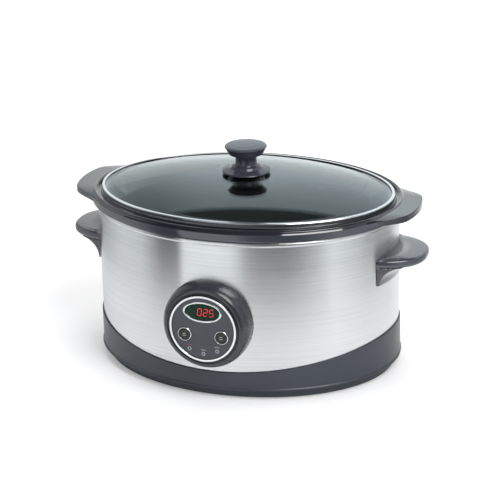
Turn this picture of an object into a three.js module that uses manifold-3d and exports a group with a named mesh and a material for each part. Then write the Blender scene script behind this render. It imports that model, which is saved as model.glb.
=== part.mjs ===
// Oval electric slow cooker: brushed steel housing on a moulded base, stoneware crock,
// glass lid and a round electronic control panel. Millimetres, +Z up, front towards -Y.
import * as THREE from 'three';
import { mergeVertices } from 'three/addons/utils/BufferGeometryUtils.js';
import Module from 'manifold-3d';

const wasm = await Module();
wasm.setup();

// ---------- driving dimensions ----------
const BODY_A = 165;            // half length of the steel wrap
const BODY_B = 127;            // half width of the steel wrap
const STEEL = 1;               // sheet thickness of the wrap
const SHELL_TOP = 175;         // top of the rolled lip
const LIP_HEIGHT = 5;          // height of the rolled lip
const LIP_PROUD = 2;           // how far the lip stands out of the wall
const SEAT_WIDTH = 11;         // inward flange that carries the crock
const GAP = 0.3;               // clearance between pieces that touch
const OVAL_STEPS = 40;         // facets round an oval
const ROUND_STEPS = 24;        // facets round a circle
const DIAL_STEPS = 32;         // facets round the control panel
const SMALL_STEPS = 8;         // facets round a screw or a post

const SKIRT_FRONT = 30;        // height of the skirt's top edge at front and back
const SKIRT_RISE = 22;         // how much higher that edge is at the two ends
const SKIRT_PROUD = 1.5;       // the skirt stands this far out of the steel
const SKIRT_WALL = 4.8;        // wall of the skirt
const SPIGOT_HEIGHT = 8;       // lip of the skirt that stands inside the wrap
const FOOT_RING_TOP = 8.5;     // the recessed ring below the skirt's wall
const FOOT_RING_INSET = 4.5;
const RING_BOTTOM = 2;         // underside of the foot ring
const LEDGE_WIDTH = 6;         // ledge that carries the base plate
const LEDGE_TOP = 4.5;
const PLATE_THICK = 1.5;       // base plate
const PLATE_SLOTS = 5;         // cooling slots on each side of the base plate
const SLOT_PITCH = 9;

const STRETCH_A = BODY_A / 165;  // what stands inside the oval keeps its place in it
const STRETCH_B = BODY_B / 127;
const FOOT_X = 108 * STRETCH_A;  // rubber feet
const FOOT_Y = 68 * STRETCH_B;
const FOOT_RADIUS = 9;

const LINER_OFFSET = 13;       // the heating well's wall lies this far inside the wrap
const LINER_WALL = 0.8;
const LINER_BOTTOM = 34;
const LINER_CORNER = 14;       // radius between the well's wall and bottom
const BAND_LOW = 56;           // heating band round the well
const BAND_HEIGHT = 54;
const BAND_THICK = 2;
const POST_X = 80 * STRETCH_A;  // posts that join the well to the base plate
const POST_Y = 48 * STRETCH_B;
const POST_RADIUS = 6;
const BASE_SCREW = 2;

const POWER_X = 30 * STRETCH_A;  // power board on the base plate
const POWER_Y = 70 * STRETCH_B;
const POWER_WIDTH = 78;
const POWER_DEPTH = 40;
const POWER_LIFT = 5;

const CROCK_CLEAR = 3.2;       // air between crock and well
const CROCK_WALL = 7;
const CROCK_BOTTOM = 38.5;
const CROCK_FLOOR = 9;         // thickness of the crock's floor
const CROCK_DRAFT = 4;         // taper of the crock's wall
const CROCK_CORNER = 18;
const RIM_A = BODY_A + 6.5;    // crock rim, half length and half width
const RIM_B = BODY_B + 1.5;
const RIM_HEIGHT = 12;
const BEAD_INSET = 2.5;        // raised bead inside the rim's outer step
const BEAD_WIDTH = 9;
const LEDGE_DROP = 3;          // the lid's ledge lies this far below the bead
const LUG_REACH = 19;          // lift lugs at the two ends
const LUG_FULL = 30;           // half width over which a lug is at full reach
const LUG_END = 64;            // half width where a lug has faded out
const LUG_THICK = 7;

const LID_A = RIM_A - 10.5;    // outside of the lid's steel band
const LID_B = RIM_B - 15;
const BAND_FLANGE = 3.2;       // width of the lid band's flanges
const BAND_SHEET = 0.7;
const GLASS = 4;
const LID_RISE = 17;           // height of the glass dome
const DOME_POWER = 2.3;        // how flat the middle of the dome is
const GLASS_HOLE = 4;

const KNOB_RADIUS = 22.5;
const KNOB_HEIGHT = 30;
const NECK_RADIUS = 11.3;
const COLLAR_RADIUS = 16;
const FLANGE_RADIUS = 26;
const SEAL_THICK = 1;
const UNDER_RADIUS = 20.5;     // plate that clamps the glass from below
const UNDER_HEIGHT = 7;
const SCREW_RADIUS = 2.5;

const HANDLE_REACH = 34;       // side handles
const HANDLE_HALF = 45;
const HANDLE_TOP = SHELL_TOP - 38;
const TAB_THICK = 9;
const HANDLE_BOTTOM = HANDLE_TOP - 28;
const PAD_THICK = 2;
const HANDLE_SCREW_DROP = 4.5;  // handle screws lie this far below the tab
const TAB_POWER = 2.4;         // squareness of the tab's outline

const TRIM_RADIUS = 36.3;      // bright ring round the face of the control panel
const DIAL = TRIM_RADIUS / 38;  // what is on the panel keeps its share of that size
const TRIM_WIDTH = 2.6;
const TRIM_DEPTH = 3;
const BOSS_RADIUS = TRIM_RADIUS + 10.9;
const BOSS_SHOULDER = TRIM_RADIUS + 3.5;
const BOSS_WALL = 2.5;
const DIAL_Z = SKIRT_FRONT + BOSS_RADIUS + 7.5;
const DIAL_REACH = 18;         // how far the face stands out of the steel
const SHELL_HOLE = BOSS_RADIUS - 6.5;
const FACE_THICK = 2;
const WINDOW_UP = 19.3 * DIAL;
const WINDOW_A = 22 * DIAL;
const WINDOW_B = 12 * DIAL;
const WINDOW_TRIM = 2.2;
const MODULE_WIDTH = 36 * DIAL;  // numeral display behind the window
const MODULE_HEIGHT = 16 * DIAL;
const BUTTON_X = 21 * DIAL;
const BUTTON_DOWN = 8 * DIAL;
const BUTTON_RADIUS = 6.3 * DIAL;
const BUTTON_TRIM = 1.5;
const BUTTON_PROUD = 1.4;
const BUTTON_TRAVEL = 0.6;
const LIGHT_RADIUS = 29 * DIAL;  // circle on which the indicator lights lie
const LIGHT_SPREAD = 33;       // degrees between them
const LIGHT_PIPE = 1.6;
const BOARD_BEHIND = 12;       // control board behind the face
const BOARD_RADIUS = TRIM_RADIUS - 5.2;
const BOARD_THICK = 1.6;
const BOARD_SCREW = 1.1;
const BOARD_POST_X = BOARD_RADIUS - 2.8;  // posts that carry the control board
const BOARD_POST_UP = 3 * DIAL;
const BOARD_POST_DOWN = 17 * DIAL;

const INLET_X = 0;             // bush at the back where the mains lead enters
const INLET_Z = 17;
const INLET_OUTER = 7;
const INLET_BORE = 4;

// ---------- worked out from them ----------
const RIM_UNDER = SHELL_TOP + GAP;
const RIM_TOP = RIM_UNDER + RIM_HEIGHT;
const LID_SEAT = RIM_TOP - LEDGE_DROP;
const LID_UNDER = LID_SEAT + GAP;
const GLASS_EDGE_LOW = LID_UNDER + BAND_SHEET + GAP;
const GLASS_EDGE_TOP = GLASS_EDGE_LOW + GLASS;
const APEX = GLASS_EDGE_TOP + LID_RISE;
const SEAL_TOP = APEX + GAP + SEAL_THICK;
const KNOB_BASE = SEAL_TOP + GAP;
const PANEL_FRONT = BODY_B + DIAL_REACH;   // face of the panel, from the middle plane
const PANEL_LEDGE = PANEL_FRONT - FACE_THICK - GAP;
const BOARD_FRONT = PANEL_FRONT - BOARD_BEHIND + BOARD_THICK / 2;
const SWITCH_HEIGHT = 4;
const SWITCH_TOP = BOARD_FRONT + GAP + SWITCH_HEIGHT;
const PLATE_LOW = LEDGE_TOP + GAP;
const PLATE_TOP = PLATE_LOW + PLATE_THICK;
const POWER_LOW = PLATE_TOP + GAP;

// ---------- solids from three.js geometry ----------
function solidFrom(geometry) {
  const bare = geometry.index ? geometry : geometry.clone();
  for (const name of ['normal', 'uv', 'uv1']) bare.deleteAttribute(name);
  const merged = mergeVertices(bare, 1e-4);
  const position = merged.attributes.position;
  const corner = [0, 1, 2].map(() => new THREE.Vector3());
  const triangles = [];
  let volume = 0;
  for (let i = 0; i < merged.index.count; i += 3) {
    const ids = [0, 1, 2].map((k) => merged.index.getX(i + k));
    if (ids[0] === ids[1] || ids[1] === ids[2] || ids[2] === ids[0]) continue;
    ids.forEach((id, k) => corner[k].fromBufferAttribute(position, id));
    volume += corner[0].dot(corner[1].clone().cross(corner[2]));
    triangles.push(...ids);
  }
  if (volume < 0) {
    for (let i = 0; i < triangles.length; i += 3) {
      [triangles[i], triangles[i + 1]] = [triangles[i + 1], triangles[i]];
    }
  }
  return new wasm.Manifold(new wasm.Mesh({
    numProp: 3,
    vertProperties: new Float32Array(position.array),
    triVerts: new Uint32Array(triangles),
  }));
}

function geometryFrom(solid) {
  const mesh = solid.getMesh();
  const geometry = new THREE.BufferGeometry();
  geometry.setAttribute('position', new THREE.BufferAttribute(mesh.vertProperties, 3));
  geometry.setIndex(new THREE.BufferAttribute(mesh.triVerts, 1));
  geometry.computeVertexNormals();
  return geometry;
}

// An oval ring or dish: each outline point is [half length, half width, height].
function ovalSolid(points, steps = OVAL_STEPS) {
  const outline = points.map(([a, , z]) => new THREE.Vector2(a, z));
  const geometry = new THREE.LatheGeometry(outline, steps);
  const position = geometry.attributes.position;
  for (let i = 0; i < position.count; i += 1) {
    const [a, b, z] = points[i % points.length];
    const turn = 2 * Math.PI * (Math.floor(i / points.length) % steps) / steps;
    position.setXYZ(i, a * Math.cos(turn), b * Math.sin(turn), z);
  }
  return solidFrom(geometry);
}

const closed = (points) => [...points, points[0]];
const inside = (offset, z) => [BODY_A - offset, BODY_B - offset, z];
const ovalRing = (points, steps) => ovalSolid(closed(points), steps);

function ovalPlug(a, b, low, high) {
  return ovalSolid([[0, 0, low], [a, b, low], [a, b, high], [0, 0, high]]);
}

// A turned piece: [radius, height] points, its axis along Z.
function turned(points, steps = ROUND_STEPS) {
  const outline = points.map(([r, h]) => new THREE.Vector2(r, h));
  return solidFrom(new THREE.LatheGeometry(outline, steps).rotateX(Math.PI / 2));
}

function rod(radius, low, high, steps = SMALL_STEPS) {
  return turned([[0, low], [radius, low], [radius, high], [0, high]], steps);
}

function tube(outer, bore, low, high, steps = ROUND_STEPS) {
  return turned(closed([[bore, low], [outer, low], [outer, high], [bore, high]]), steps);
}

function block(width, depth, height, x, y, z) {
  return solidFrom(new THREE.BoxGeometry(width, depth, height).translate(x, y, z));
}

// Lays a piece made along Z into the control panel: its heights become distances
// in front of the body's middle plane, its Y becomes up.
function onPanel(solid, x = 0, up = 0) {
  return solid.rotate([90, 0, 0]).translate([x, 0, DIAL_Z + up]);
}

function extruded(shape, low, high, curve = ROUND_STEPS / 2) {
  const depth = high - low;
  const geometry = new THREE.ExtrudeGeometry(shape, { depth, bevelEnabled: false, curveSegments: curve });
  return solidFrom(geometry.translate(0, 0, low));
}

function ovalShape(a, b) {
  const shape = new THREE.Shape();
  shape.absellipse(0, 0, a, b, 0, 2 * Math.PI);
  return shape;
}

const joined = (solids) => solids.reduce((sum, solid) => sum.add(solid));
const smooth = (t) => t * t * (3 - 2 * t);
const corners = (x, y) => [[x, y], [-x, y], [-x, -y], [x, -y]];

// ---------- housing ----------
// Everything above the skirt's top edge, a parabola that rises towards the ends.
function aboveSkirt(lift) {
  const reach = BODY_A + 20;
  const steps = 16;
  const shape = new THREE.Shape();
  shape.moveTo(-reach, SHELL_TOP + 50);
  for (let i = 0; i <= steps; i += 1) {
    const x = reach * (2 * i / steps - 1);
    shape.lineTo(x, SKIRT_FRONT + SKIRT_RISE * (x / BODY_A) ** 2 + lift);
  }
  shape.lineTo(reach, SHELL_TOP + 50);
  return extruded(shape, -BODY_B - 30, BODY_B + 30).rotate([90, 0, 0]);
}

function baseSkirt() {
  const high = SKIRT_FRONT + SKIRT_RISE + 20;
  const inner = SKIRT_WALL - SKIRT_PROUD;
  const wall = ovalRing([
    inside(-SKIRT_PROUD, high),
    inside(-SKIRT_PROUD, FOOT_RING_TOP + 1),
    inside(-SKIRT_PROUD + 1, FOOT_RING_TOP),
    inside(FOOT_RING_INSET - SKIRT_PROUD, FOOT_RING_TOP - 0.4),
    inside(FOOT_RING_INSET - SKIRT_PROUD + 0.8, RING_BOTTOM),
    inside(inner + LEDGE_WIDTH + 2, RING_BOTTOM),
    inside(inner + LEDGE_WIDTH + 2, LEDGE_TOP),
    inside(inner + 2, LEDGE_TOP),
    inside(inner, LEDGE_TOP + 5),
    inside(inner, high),
  ]).subtract(aboveSkirt(0));
  const outer = STEEL + GAP;
  const spigot = ovalRing([
    inside(outer, FOOT_RING_TOP + 4),
    inside(outer, high),
    inside(inner, high),
    inside(inner, FOOT_RING_TOP + 4),
  ]).subtract(aboveSkirt(SPIGOT_HEIGHT));
  const inlet = rod(INLET_OUTER + GAP, BODY_B - 20, BODY_B + 20, ROUND_STEPS)
    .rotate([-90, 0, 0]).translate([INLET_X, 0, INLET_Z]);
  return wall.add(spigot).subtract(inlet);
}

function steelShell() {
  const low = SKIRT_FRONT;
  const lip = SHELL_TOP - LIP_HEIGHT;
  const shell = ovalRing([
    inside(0, low),
    inside(0, lip),
    inside(-LIP_PROUD * 0.8, lip + LIP_HEIGHT * 0.25),
    inside(-LIP_PROUD, lip + LIP_HEIGHT * 0.6),
    inside(-LIP_PROUD * 0.6, lip + LIP_HEIGHT * 0.93),
    inside(0, SHELL_TOP),
    inside(SEAT_WIDTH, SHELL_TOP),
    inside(SEAT_WIDTH, SHELL_TOP - STEEL),
    inside(0, SHELL_TOP - STEEL),
    inside(-LIP_PROUD * 0.5, lip + LIP_HEIGHT * 0.55),
    inside(STEEL, lip),
    inside(STEEL, low),
  ]).intersect(aboveSkirt(GAP));
  const panelHole = onPanel(rod(SHELL_HOLE, BODY_B - 30, BODY_B + 10, ROUND_STEPS));
  const screwHoles = joined(handleScrewPlaces().map((place) => alongX(SCREW_RADIUS + GAP, 14, place)));
  return shell.subtract(panelHole).subtract(screwHoles);
}

function basePlate() {
  const edge = SKIRT_WALL - SKIRT_PROUD + 2.6;
  const holes = corners(POST_X, POST_Y).map(([x, y]) => rod(SCREW_RADIUS, 0, 10).translate([x, y, 0]));
  for (const side of [-1, 1]) {
    for (let i = 0; i < PLATE_SLOTS; i += 1) {
      const y = SLOT_PITCH * (i - (PLATE_SLOTS - 1) / 2);
      holes.push(block(26, 3, 10, side * 45, y, PLATE_LOW));
    }
  }
  const plug = ovalPlug(BODY_A - edge, BODY_B - edge, PLATE_LOW, PLATE_TOP);
  return plug.subtract(joined(holes));
}

function foot(x, y) {
  const top = PLATE_LOW - GAP;
  const outline = [[0, 0], [FOOT_RADIUS - 1.5, 0], [FOOT_RADIUS - 0.4, 1], [FOOT_RADIUS, top], [0, top]];
  return turned(outline, SMALL_STEPS * 2).translate([x, y, 0]);
}

// A pan-head screw with its head at z = 0, pointing up.
function screw(radius, length) {
  const head = radius * 1.8;
  const thick = radius * 0.9;
  return turned([
    [0, -thick], [head * 0.7, -thick], [head, -thick * 0.4], [head, 0],
    [radius, 0], [radius, length], [0, length],
  ], SMALL_STEPS);
}

function baseScrew(x, y) {
  return screw(BASE_SCREW, 11).translate([x, y, PLATE_LOW - GAP]);
}

function linerPost(x, y) {
  const low = PLATE_TOP + GAP;
  const bore = BASE_SCREW + GAP;
  const high = LINER_BOTTOM - GAP;
  const depth = 12;
  return turned([
    [bore, low], [POST_RADIUS, low], [POST_RADIUS, high], [0, high], [0, low + depth],
    [bore, low + depth], [bore, low],
  ], SMALL_STEPS).translate([x, y, 0]);
}

// ---------- heating well ----------
function liner() {
  const top = SHELL_TOP - STEEL - GAP;
  const wall = LINER_OFFSET;
  const outer = [];
  const inner = [];
  for (const angle of [0, 30, 60, 90]) {
    const turn = THREE.MathUtils.degToRad(angle);
    const drop = LINER_CORNER * (1 - Math.sin(turn));
    const slip = LINER_CORNER * (1 - Math.cos(turn));
    outer.push(inside(wall + slip, LINER_BOTTOM + drop));
    inner.push(inside(wall + slip + LINER_WALL, LINER_BOTTOM + drop + LINER_WALL));
  }
  return ovalSolid([
    [0, 0, LINER_BOTTOM],
    ...outer.reverse(),
    inside(wall, top - LINER_WALL),
    inside(wall - 8, top - LINER_WALL),
    inside(wall - 8, top),
    inside(wall + LINER_WALL, top),
    ...inner,
    [0, 0, LINER_BOTTOM + LINER_WALL],
  ]);
}

function heatingBand() {
  const near = LINER_OFFSET - GAP;
  return ovalRing([
    inside(near, BAND_LOW),
    inside(near - BAND_THICK, BAND_LOW),
    inside(near - BAND_THICK, BAND_LOW + BAND_HEIGHT),
    inside(near, BAND_LOW + BAND_HEIGHT),
  ]);
}

function bandClamp() {
  const y = BODY_B - LINER_OFFSET + GAP + BAND_THICK + GAP;
  return block(18, 4, 26, 0, y + 2, BAND_LOW + BAND_HEIGHT / 2);
}

function thermalSensor() {
  return rod(7, LINER_BOTTOM - GAP - 6, LINER_BOTTOM - GAP, SMALL_STEPS * 2).translate([0, -22, 0]);
}

function thermalFuse() {
  const fuse = rod(2.4, -14, 14).rotate([0, 90, 0]);
  return fuse.translate([0, 24, LINER_BOTTOM - GAP - 2.4]);
}

// ---------- power electronics ----------
function powerBoard() {
  const z = POWER_LOW + POWER_LIFT;
  const board = block(POWER_WIDTH, POWER_DEPTH, BOARD_THICK, POWER_X, POWER_Y, z + BOARD_THICK / 2);
  const legs = corners(POWER_WIDTH / 2 - 5, POWER_DEPTH / 2 - 5).map(([x, y]) => (
    rod(2.5, POWER_LOW, z + 0.2).translate([POWER_X + x, POWER_Y + y, 0])
  ));
  return joined([board, ...legs]);
}

function relay() {
  const z = POWER_LOW + POWER_LIFT + BOARD_THICK + GAP;
  return block(19, 15, 14, POWER_X - 22, POWER_Y, z + 7);
}

function transformer() {
  const z = POWER_LOW + POWER_LIFT + BOARD_THICK + GAP;
  return block(28, 22, 13, POWER_X + 12, POWER_Y, z + 6.5);
}

function cordInlet() {
  const wallIn = BODY_B + SKIRT_PROUD - SKIRT_WALL;
  const wallOut = BODY_B + SKIRT_PROUD;
  const outline = closed([
    [INLET_BORE, wallIn - 4], [INLET_OUTER, wallIn - 4], [INLET_OUTER, wallOut + GAP],
    [INLET_OUTER + 2, wallOut + GAP], [INLET_OUTER + 1.4, wallOut + 2.4], [INLET_BORE, wallOut + 2.4],
  ]);
  return turned(outline).rotate([-90, 0, 0]).translate([INLET_X, 0, INLET_Z]);
}

// ---------- side handles ----------
function handleScrewPlaces() {
  const z = HANDLE_TOP - TAB_THICK - HANDLE_SCREW_DROP;
  return [1, -1].flatMap((side) => [-22, 22].map((y) => ({ side, y, z })));
}

const wallX = (y, offset = 0) => (BODY_A + offset) * Math.sqrt(1 - (y / (BODY_B + offset)) ** 2);

function alongX(radius, length, { side, y, z }) {
  const pin = rod(radius, wallX(y) - length / 2, wallX(y) + length / 2);
  return pin.rotate([0, 90 * side, 0]).translate([0, y, z]);
}

function tabOutline(reach, half) {
  const shape = new THREE.Shape();
  const steps = 20;
  const root = BODY_A - 35;
  const length = BODY_A + reach - root;
  shape.moveTo(root, -half);
  for (let i = 1; i < steps; i += 1) {
    const turn = Math.PI * (i / steps - 0.5);
    const x = root + length * Math.cos(turn) ** (2 / TAB_POWER);
    const y = half * Math.sign(Math.sin(turn)) * Math.abs(Math.sin(turn)) ** (2 / TAB_POWER);
    shape.lineTo(x, y);
  }
  shape.lineTo(root, half);
  return shape;
}

function handleFillet() {
  const points = [inside(-GAP, HANDLE_BOTTOM)];
  const steps = 6;
  const under = HANDLE_TOP - TAB_THICK;
  const spread = 18;
  for (let i = 0; i <= steps; i += 1) {
    const turn = Math.PI / 2 * i / steps;
    const out = PAD_THICK + spread * (1 - Math.cos(turn));
    points.push(inside(-out, HANDLE_BOTTOM + (under - HANDLE_BOTTOM) * Math.sin(turn)));
  }
  points.push(inside(-PAD_THICK - spread, under + 1));
  points.push(inside(-GAP, under + 1));
  return ovalRing(points);
}

function sideHandle(side) {
  const under = HANDLE_TOP - TAB_THICK;
  const tab = joined([
    extruded(tabOutline(HANDLE_REACH - 1.5, HANDLE_HALF - 1.5), under, HANDLE_TOP),
    extruded(tabOutline(HANDLE_REACH, HANDLE_HALF), under + 1.5, HANDLE_TOP - 1.5),
  ]);
  const footprint = extruded(tabOutline(HANDLE_REACH - 1.5, HANDLE_HALF), HANDLE_BOTTOM, under + 1);
  const gusset = handleFillet().intersect(footprint);
  const bores = joined(handleScrewPlaces().filter((place) => place.side > 0)
    .map((place) => alongX(SCREW_RADIUS + GAP, 13, place)));
  const body = ovalPlug(BODY_A + GAP, BODY_B + GAP, HANDLE_BOTTOM - 5, HANDLE_TOP + 5);
  const handle = tab.add(gusset).subtract(body).subtract(bores);
  return side > 0 ? handle : handle.rotate([0, 0, 180]);
}

function handleScrew({ side, y, z }) {
  const head = wallX(y, -STEEL) - 2.2;
  const pin = screw(SCREW_RADIUS, 8).translate([0, 0, head]);
  return pin.rotate([0, 90 * side, 0]).translate([0, y, z]);
}

// ---------- control panel ----------
function controlBoss() {
  const shoulder = PANEL_FRONT - 1;
  const rise = shoulder - BODY_B;
  const outer = [];
  const steps = 4;
  for (let i = 0; i <= steps; i += 1) {
    const turn = Math.PI / 2 * i / steps;
    const r = BOSS_SHOULDER + (BOSS_RADIUS - BOSS_SHOULDER) * Math.cos(turn);
    outer.push([r, BODY_B + 2 + (rise - 2) * Math.sin(turn)]);
  }
  const boss = turned(closed([
    [BOSS_RADIUS - BOSS_WALL, BODY_B - 20],
    [BOSS_RADIUS, BODY_B - 20],
    ...outer,
    [TRIM_RADIUS + GAP + 0.8, PANEL_FRONT - 0.4],
    [TRIM_RADIUS + GAP, PANEL_FRONT - 1],
    [TRIM_RADIUS + GAP, PANEL_LEDGE],
    [BOARD_RADIUS + 1, PANEL_LEDGE],
    [BOARD_RADIUS + 1, PANEL_LEDGE - 2],
    [BOSS_SHOULDER - BOSS_WALL, PANEL_LEDGE - 2],
    [BOSS_RADIUS - BOSS_WALL, BODY_B + 4],
  ]), DIAL_STEPS);
  const body = ovalPlug(BODY_A + GAP, BODY_B + GAP, DIAL_Z - 60, DIAL_Z + 60);
  return onPanel(boss).subtract(body);
}

function faceTrim() {
  const inner = TRIM_RADIUS - TRIM_WIDTH;
  const low = PANEL_FRONT - TRIM_DEPTH + 0.9;
  return onPanel(turned(closed([
    [inner, low], [TRIM_RADIUS, low], [TRIM_RADIUS, PANEL_FRONT + 0.1], [TRIM_RADIUS - 0.7, PANEL_FRONT + 0.8],
    [inner + 0.7, PANEL_FRONT + 0.8], [inner, PANEL_FRONT + 0.1],
  ]), DIAL_STEPS));
}

const postPlaces = [[BOARD_POST_X, BOARD_POST_UP], [-BOARD_POST_X, BOARD_POST_UP], [0, -BOARD_POST_DOWN]];

function lightPlaces() {
  return [-1, 0, 1].map((step) => {
    const turn = THREE.MathUtils.degToRad(LIGHT_SPREAD * step);
    return [LIGHT_RADIUS * Math.sin(turn), -LIGHT_RADIUS * Math.cos(turn)];
  });
}

function controlFace() {
  const radius = TRIM_RADIUS - TRIM_WIDTH - GAP;
  const low = PANEL_FRONT - FACE_THICK;
  const windowCut = extruded(ovalShape(WINDOW_A + GAP, WINDOW_B + GAP), low - 5, low + 10)
    .translate([0, WINDOW_UP, 0]);
  const buttonHole = BUTTON_RADIUS + GAP + BUTTON_TRIM + GAP;
  const cuts = [windowCut];
  for (const side of [-1, 1]) {
    cuts.push(rod(buttonHole, low - 5, low + 10, ROUND_STEPS).translate([side * BUTTON_X, -BUTTON_DOWN, 0]));
  }
  for (const [x, up] of lightPlaces()) {
    cuts.push(rod(LIGHT_PIPE + GAP, low - 5, low + 10).translate([x, up, 0]));
  }
  const posts = postPlaces.map(([x, up]) => (
    tube(3, 1.4, BOARD_FRONT + GAP, low + 0.5, SMALL_STEPS).translate([x, up, 0])
  ));
  const disc = rod(radius, low, PANEL_FRONT, DIAL_STEPS);
  return onPanel(joined([disc.subtract(joined(cuts)), ...posts]));
}

function windowTrim() {
  const ring = ovalShape(WINDOW_A, WINDOW_B);
  ring.holes.push(ovalShape(WINDOW_A - WINDOW_TRIM, WINDOW_B - WINDOW_TRIM));
  return onPanel(extruded(ring, PANEL_FRONT - FACE_THICK, PANEL_FRONT + 0.7), 0, WINDOW_UP);
}

function displayWindow() {
  const inset = WINDOW_TRIM + GAP;
  const lens = ovalShape(WINDOW_A - inset, WINDOW_B - inset);
  return onPanel(extruded(lens, PANEL_FRONT - FACE_THICK, PANEL_FRONT + 0.2), 0, WINDOW_UP);
}

function displayModule() {
  const back = BOARD_FRONT + GAP;
  const front = PANEL_FRONT - FACE_THICK - GAP;
  const depth = front - back;
  return onPanel(block(MODULE_WIDTH, MODULE_HEIGHT, depth, 0, 0, (front + back) / 2), 0, WINDOW_UP - 1);
}

function buttonTrim(side) {
  const bore = BUTTON_RADIUS + GAP;
  const ring = tube(bore + BUTTON_TRIM, bore, PANEL_FRONT - FACE_THICK, PANEL_FRONT + 0.7);
  return onPanel(ring, side * BUTTON_X, -BUTTON_DOWN);
}

function button(side) {
  const front = PANEL_FRONT + BUTTON_PROUD;
  const low = PANEL_FRONT - FACE_THICK - 1;
  const stem = SWITCH_TOP + GAP + BUTTON_TRAVEL;
  return onPanel(turned([
    [0, stem], [2, stem], [2, low], [BUTTON_RADIUS, low],
    [BUTTON_RADIUS, front - 0.6], [BUTTON_RADIUS - 0.8, front], [0, front],
  ]), side * BUTTON_X, -BUTTON_DOWN);
}

function tactSwitch(side) {
  const low = SWITCH_TOP - SWITCH_HEIGHT;
  const can = block(6.2, 6.2, 3.2, 0, 0, low + 1.6);
  return onPanel(can.add(rod(1.7, low + 3, SWITCH_TOP)), side * BUTTON_X, -BUTTON_DOWN);
}

function lightPipe([x, up]) {
  const back = BOARD_FRONT + GAP;
  return onPanel(rod(LIGHT_PIPE, back, PANEL_FRONT + 0.4), x, up);
}

function controlBoard() {
  const middle = PANEL_FRONT - BOARD_BEHIND;
  const disc = rod(BOARD_RADIUS, middle - BOARD_THICK / 2, middle + BOARD_THICK / 2, ROUND_STEPS);
  const holes = postPlaces.map(([x, up]) => rod(1.5, middle - 3, middle + 3).translate([x, up, 0]));
  return onPanel(disc.subtract(joined(holes)));
}

function boardScrew([x, up]) {
  const head = PANEL_FRONT - BOARD_BEHIND - BOARD_THICK / 2 - GAP;
  return onPanel(screw(BOARD_SCREW, 6).translate([0, 0, head]), x, up);
}

// ---------- crock ----------
function lugBump(y) {
  const t = THREE.MathUtils.clamp((LUG_END - Math.abs(y)) / (LUG_END - LUG_FULL), 0, 1);
  return LUG_REACH * smooth(t);
}

function rimOutline() {
  const steps = OVAL_STEPS * 2;
  const inset = 0.6;
  const shape = new THREE.Shape();
  for (let i = 0; i < steps; i += 1) {
    const turn = 2 * Math.PI * i / steps;
    const y = (RIM_B - inset) * Math.sin(turn);
    const x = (RIM_A - inset) * Math.cos(turn) + Math.sign(Math.cos(turn)) * lugBump(y);
    if (i === 0) shape.moveTo(x, y);
    else shape.lineTo(x, y);
  }
  shape.closePath();
  return shape;
}

function crock() {
  const wall = LINER_OFFSET + LINER_WALL + CROCK_CLEAR;
  const outer = [];
  const inner = [];
  const inset = wall + CROCK_DRAFT;
  for (const angle of [0, 30, 60, 90]) {
    const turn = THREE.MathUtils.degToRad(angle);
    const drop = CROCK_CORNER * (1 - Math.sin(turn));
    const slip = CROCK_CORNER * (1 - Math.cos(turn));
    outer.push(inside(inset + slip, CROCK_BOTTOM + drop));
    inner.push(inside(inset + CROCK_WALL + slip, CROCK_BOTTOM + CROCK_FLOOR + drop));
  }
  const bead = BEAD_INSET + BEAD_WIDTH;
  const ledgeA = LID_A + 2;
  const ledgeB = LID_B + 2;
  const bowl = ovalSolid([
    [0, 0, CROCK_BOTTOM],
    ...outer.reverse(),
    inside(wall, RIM_UNDER),
    [RIM_A, RIM_B, RIM_UNDER],
    [RIM_A, RIM_B, RIM_TOP - 3.5],
    [RIM_A - BEAD_INSET, RIM_B - BEAD_INSET, RIM_TOP - 3],
    [RIM_A - BEAD_INSET - 0.6, RIM_B - BEAD_INSET - 1.5, RIM_TOP - 0.6],
    [RIM_A - bead * 0.55, RIM_B - bead * 0.55, RIM_TOP],
    [ledgeA, ledgeB, RIM_TOP - 0.8],
    [ledgeA - 0.4, ledgeB - 0.4, LID_SEAT],
    [LID_A - 7, LID_B - 7, LID_SEAT],
    [LID_A - 9, LID_B - 8.5, LID_SEAT - 2],
    inside(wall + CROCK_WALL, RIM_UNDER - 12),
    ...inner,
    [0, 0, CROCK_BOTTOM + CROCK_FLOOR],
  ]);
  const plateTop = RIM_TOP - 1.2;
  const plate = rimOutline();
  plate.holes.push(ovalShape(RIM_A - 4, RIM_B - 4));
  const ends = extruded(plate, plateTop - LUG_THICK, plateTop, OVAL_STEPS / 2)
    .subtract(block(2 * BODY_A - 80, 4 * BODY_B, 100, 0, 0, plateTop));
  return bowl.add(ends);
}

// ---------- lid ----------
function lidBand() {
  const top = GLASS_EDGE_TOP + GAP;
  const edge = (offset, z) => [LID_A - offset, LID_B - offset, z];
  return ovalRing([
    edge(BAND_FLANGE, LID_UNDER),
    edge(0.6, LID_UNDER),
    edge(0, LID_UNDER + 0.8),
    edge(0, top),
    edge(0.6, top + BAND_SHEET),
    edge(BAND_FLANGE, top + BAND_SHEET),
    edge(BAND_FLANGE, top),
    edge(BAND_SHEET, top),
    edge(BAND_SHEET, LID_UNDER + BAND_SHEET),
    edge(BAND_FLANGE, LID_UNDER + BAND_SHEET),
  ]);
}

function lidGlass() {
  const steps = 5;
  const edge = BAND_SHEET + GAP;
  const top = [];
  const under = [];
  const rimWidth = 4;
  for (let i = 0; i <= steps; i += 1) {
    const share = i / steps;
    const a = GLASS_HOLE + (LID_A - edge - rimWidth - GLASS_HOLE) * share;
    const b = GLASS_HOLE + (LID_B - edge - rimWidth - GLASS_HOLE) * share;
    const z = APEX - LID_RISE * share ** DOME_POWER;
    top.push([a, b, z]);
    under.unshift([a, b, z - GLASS]);
  }
  return ovalRing([
    ...top,
    [LID_A - edge, LID_B - edge, GLASS_EDGE_TOP],
    [LID_A - edge, LID_B - edge, GLASS_EDGE_LOW],
    ...under,
  ]);
}

function knobSeal() {
  return tube(COLLAR_RADIUS, GLASS_HOLE, APEX + GAP, SEAL_TOP);
}

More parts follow.
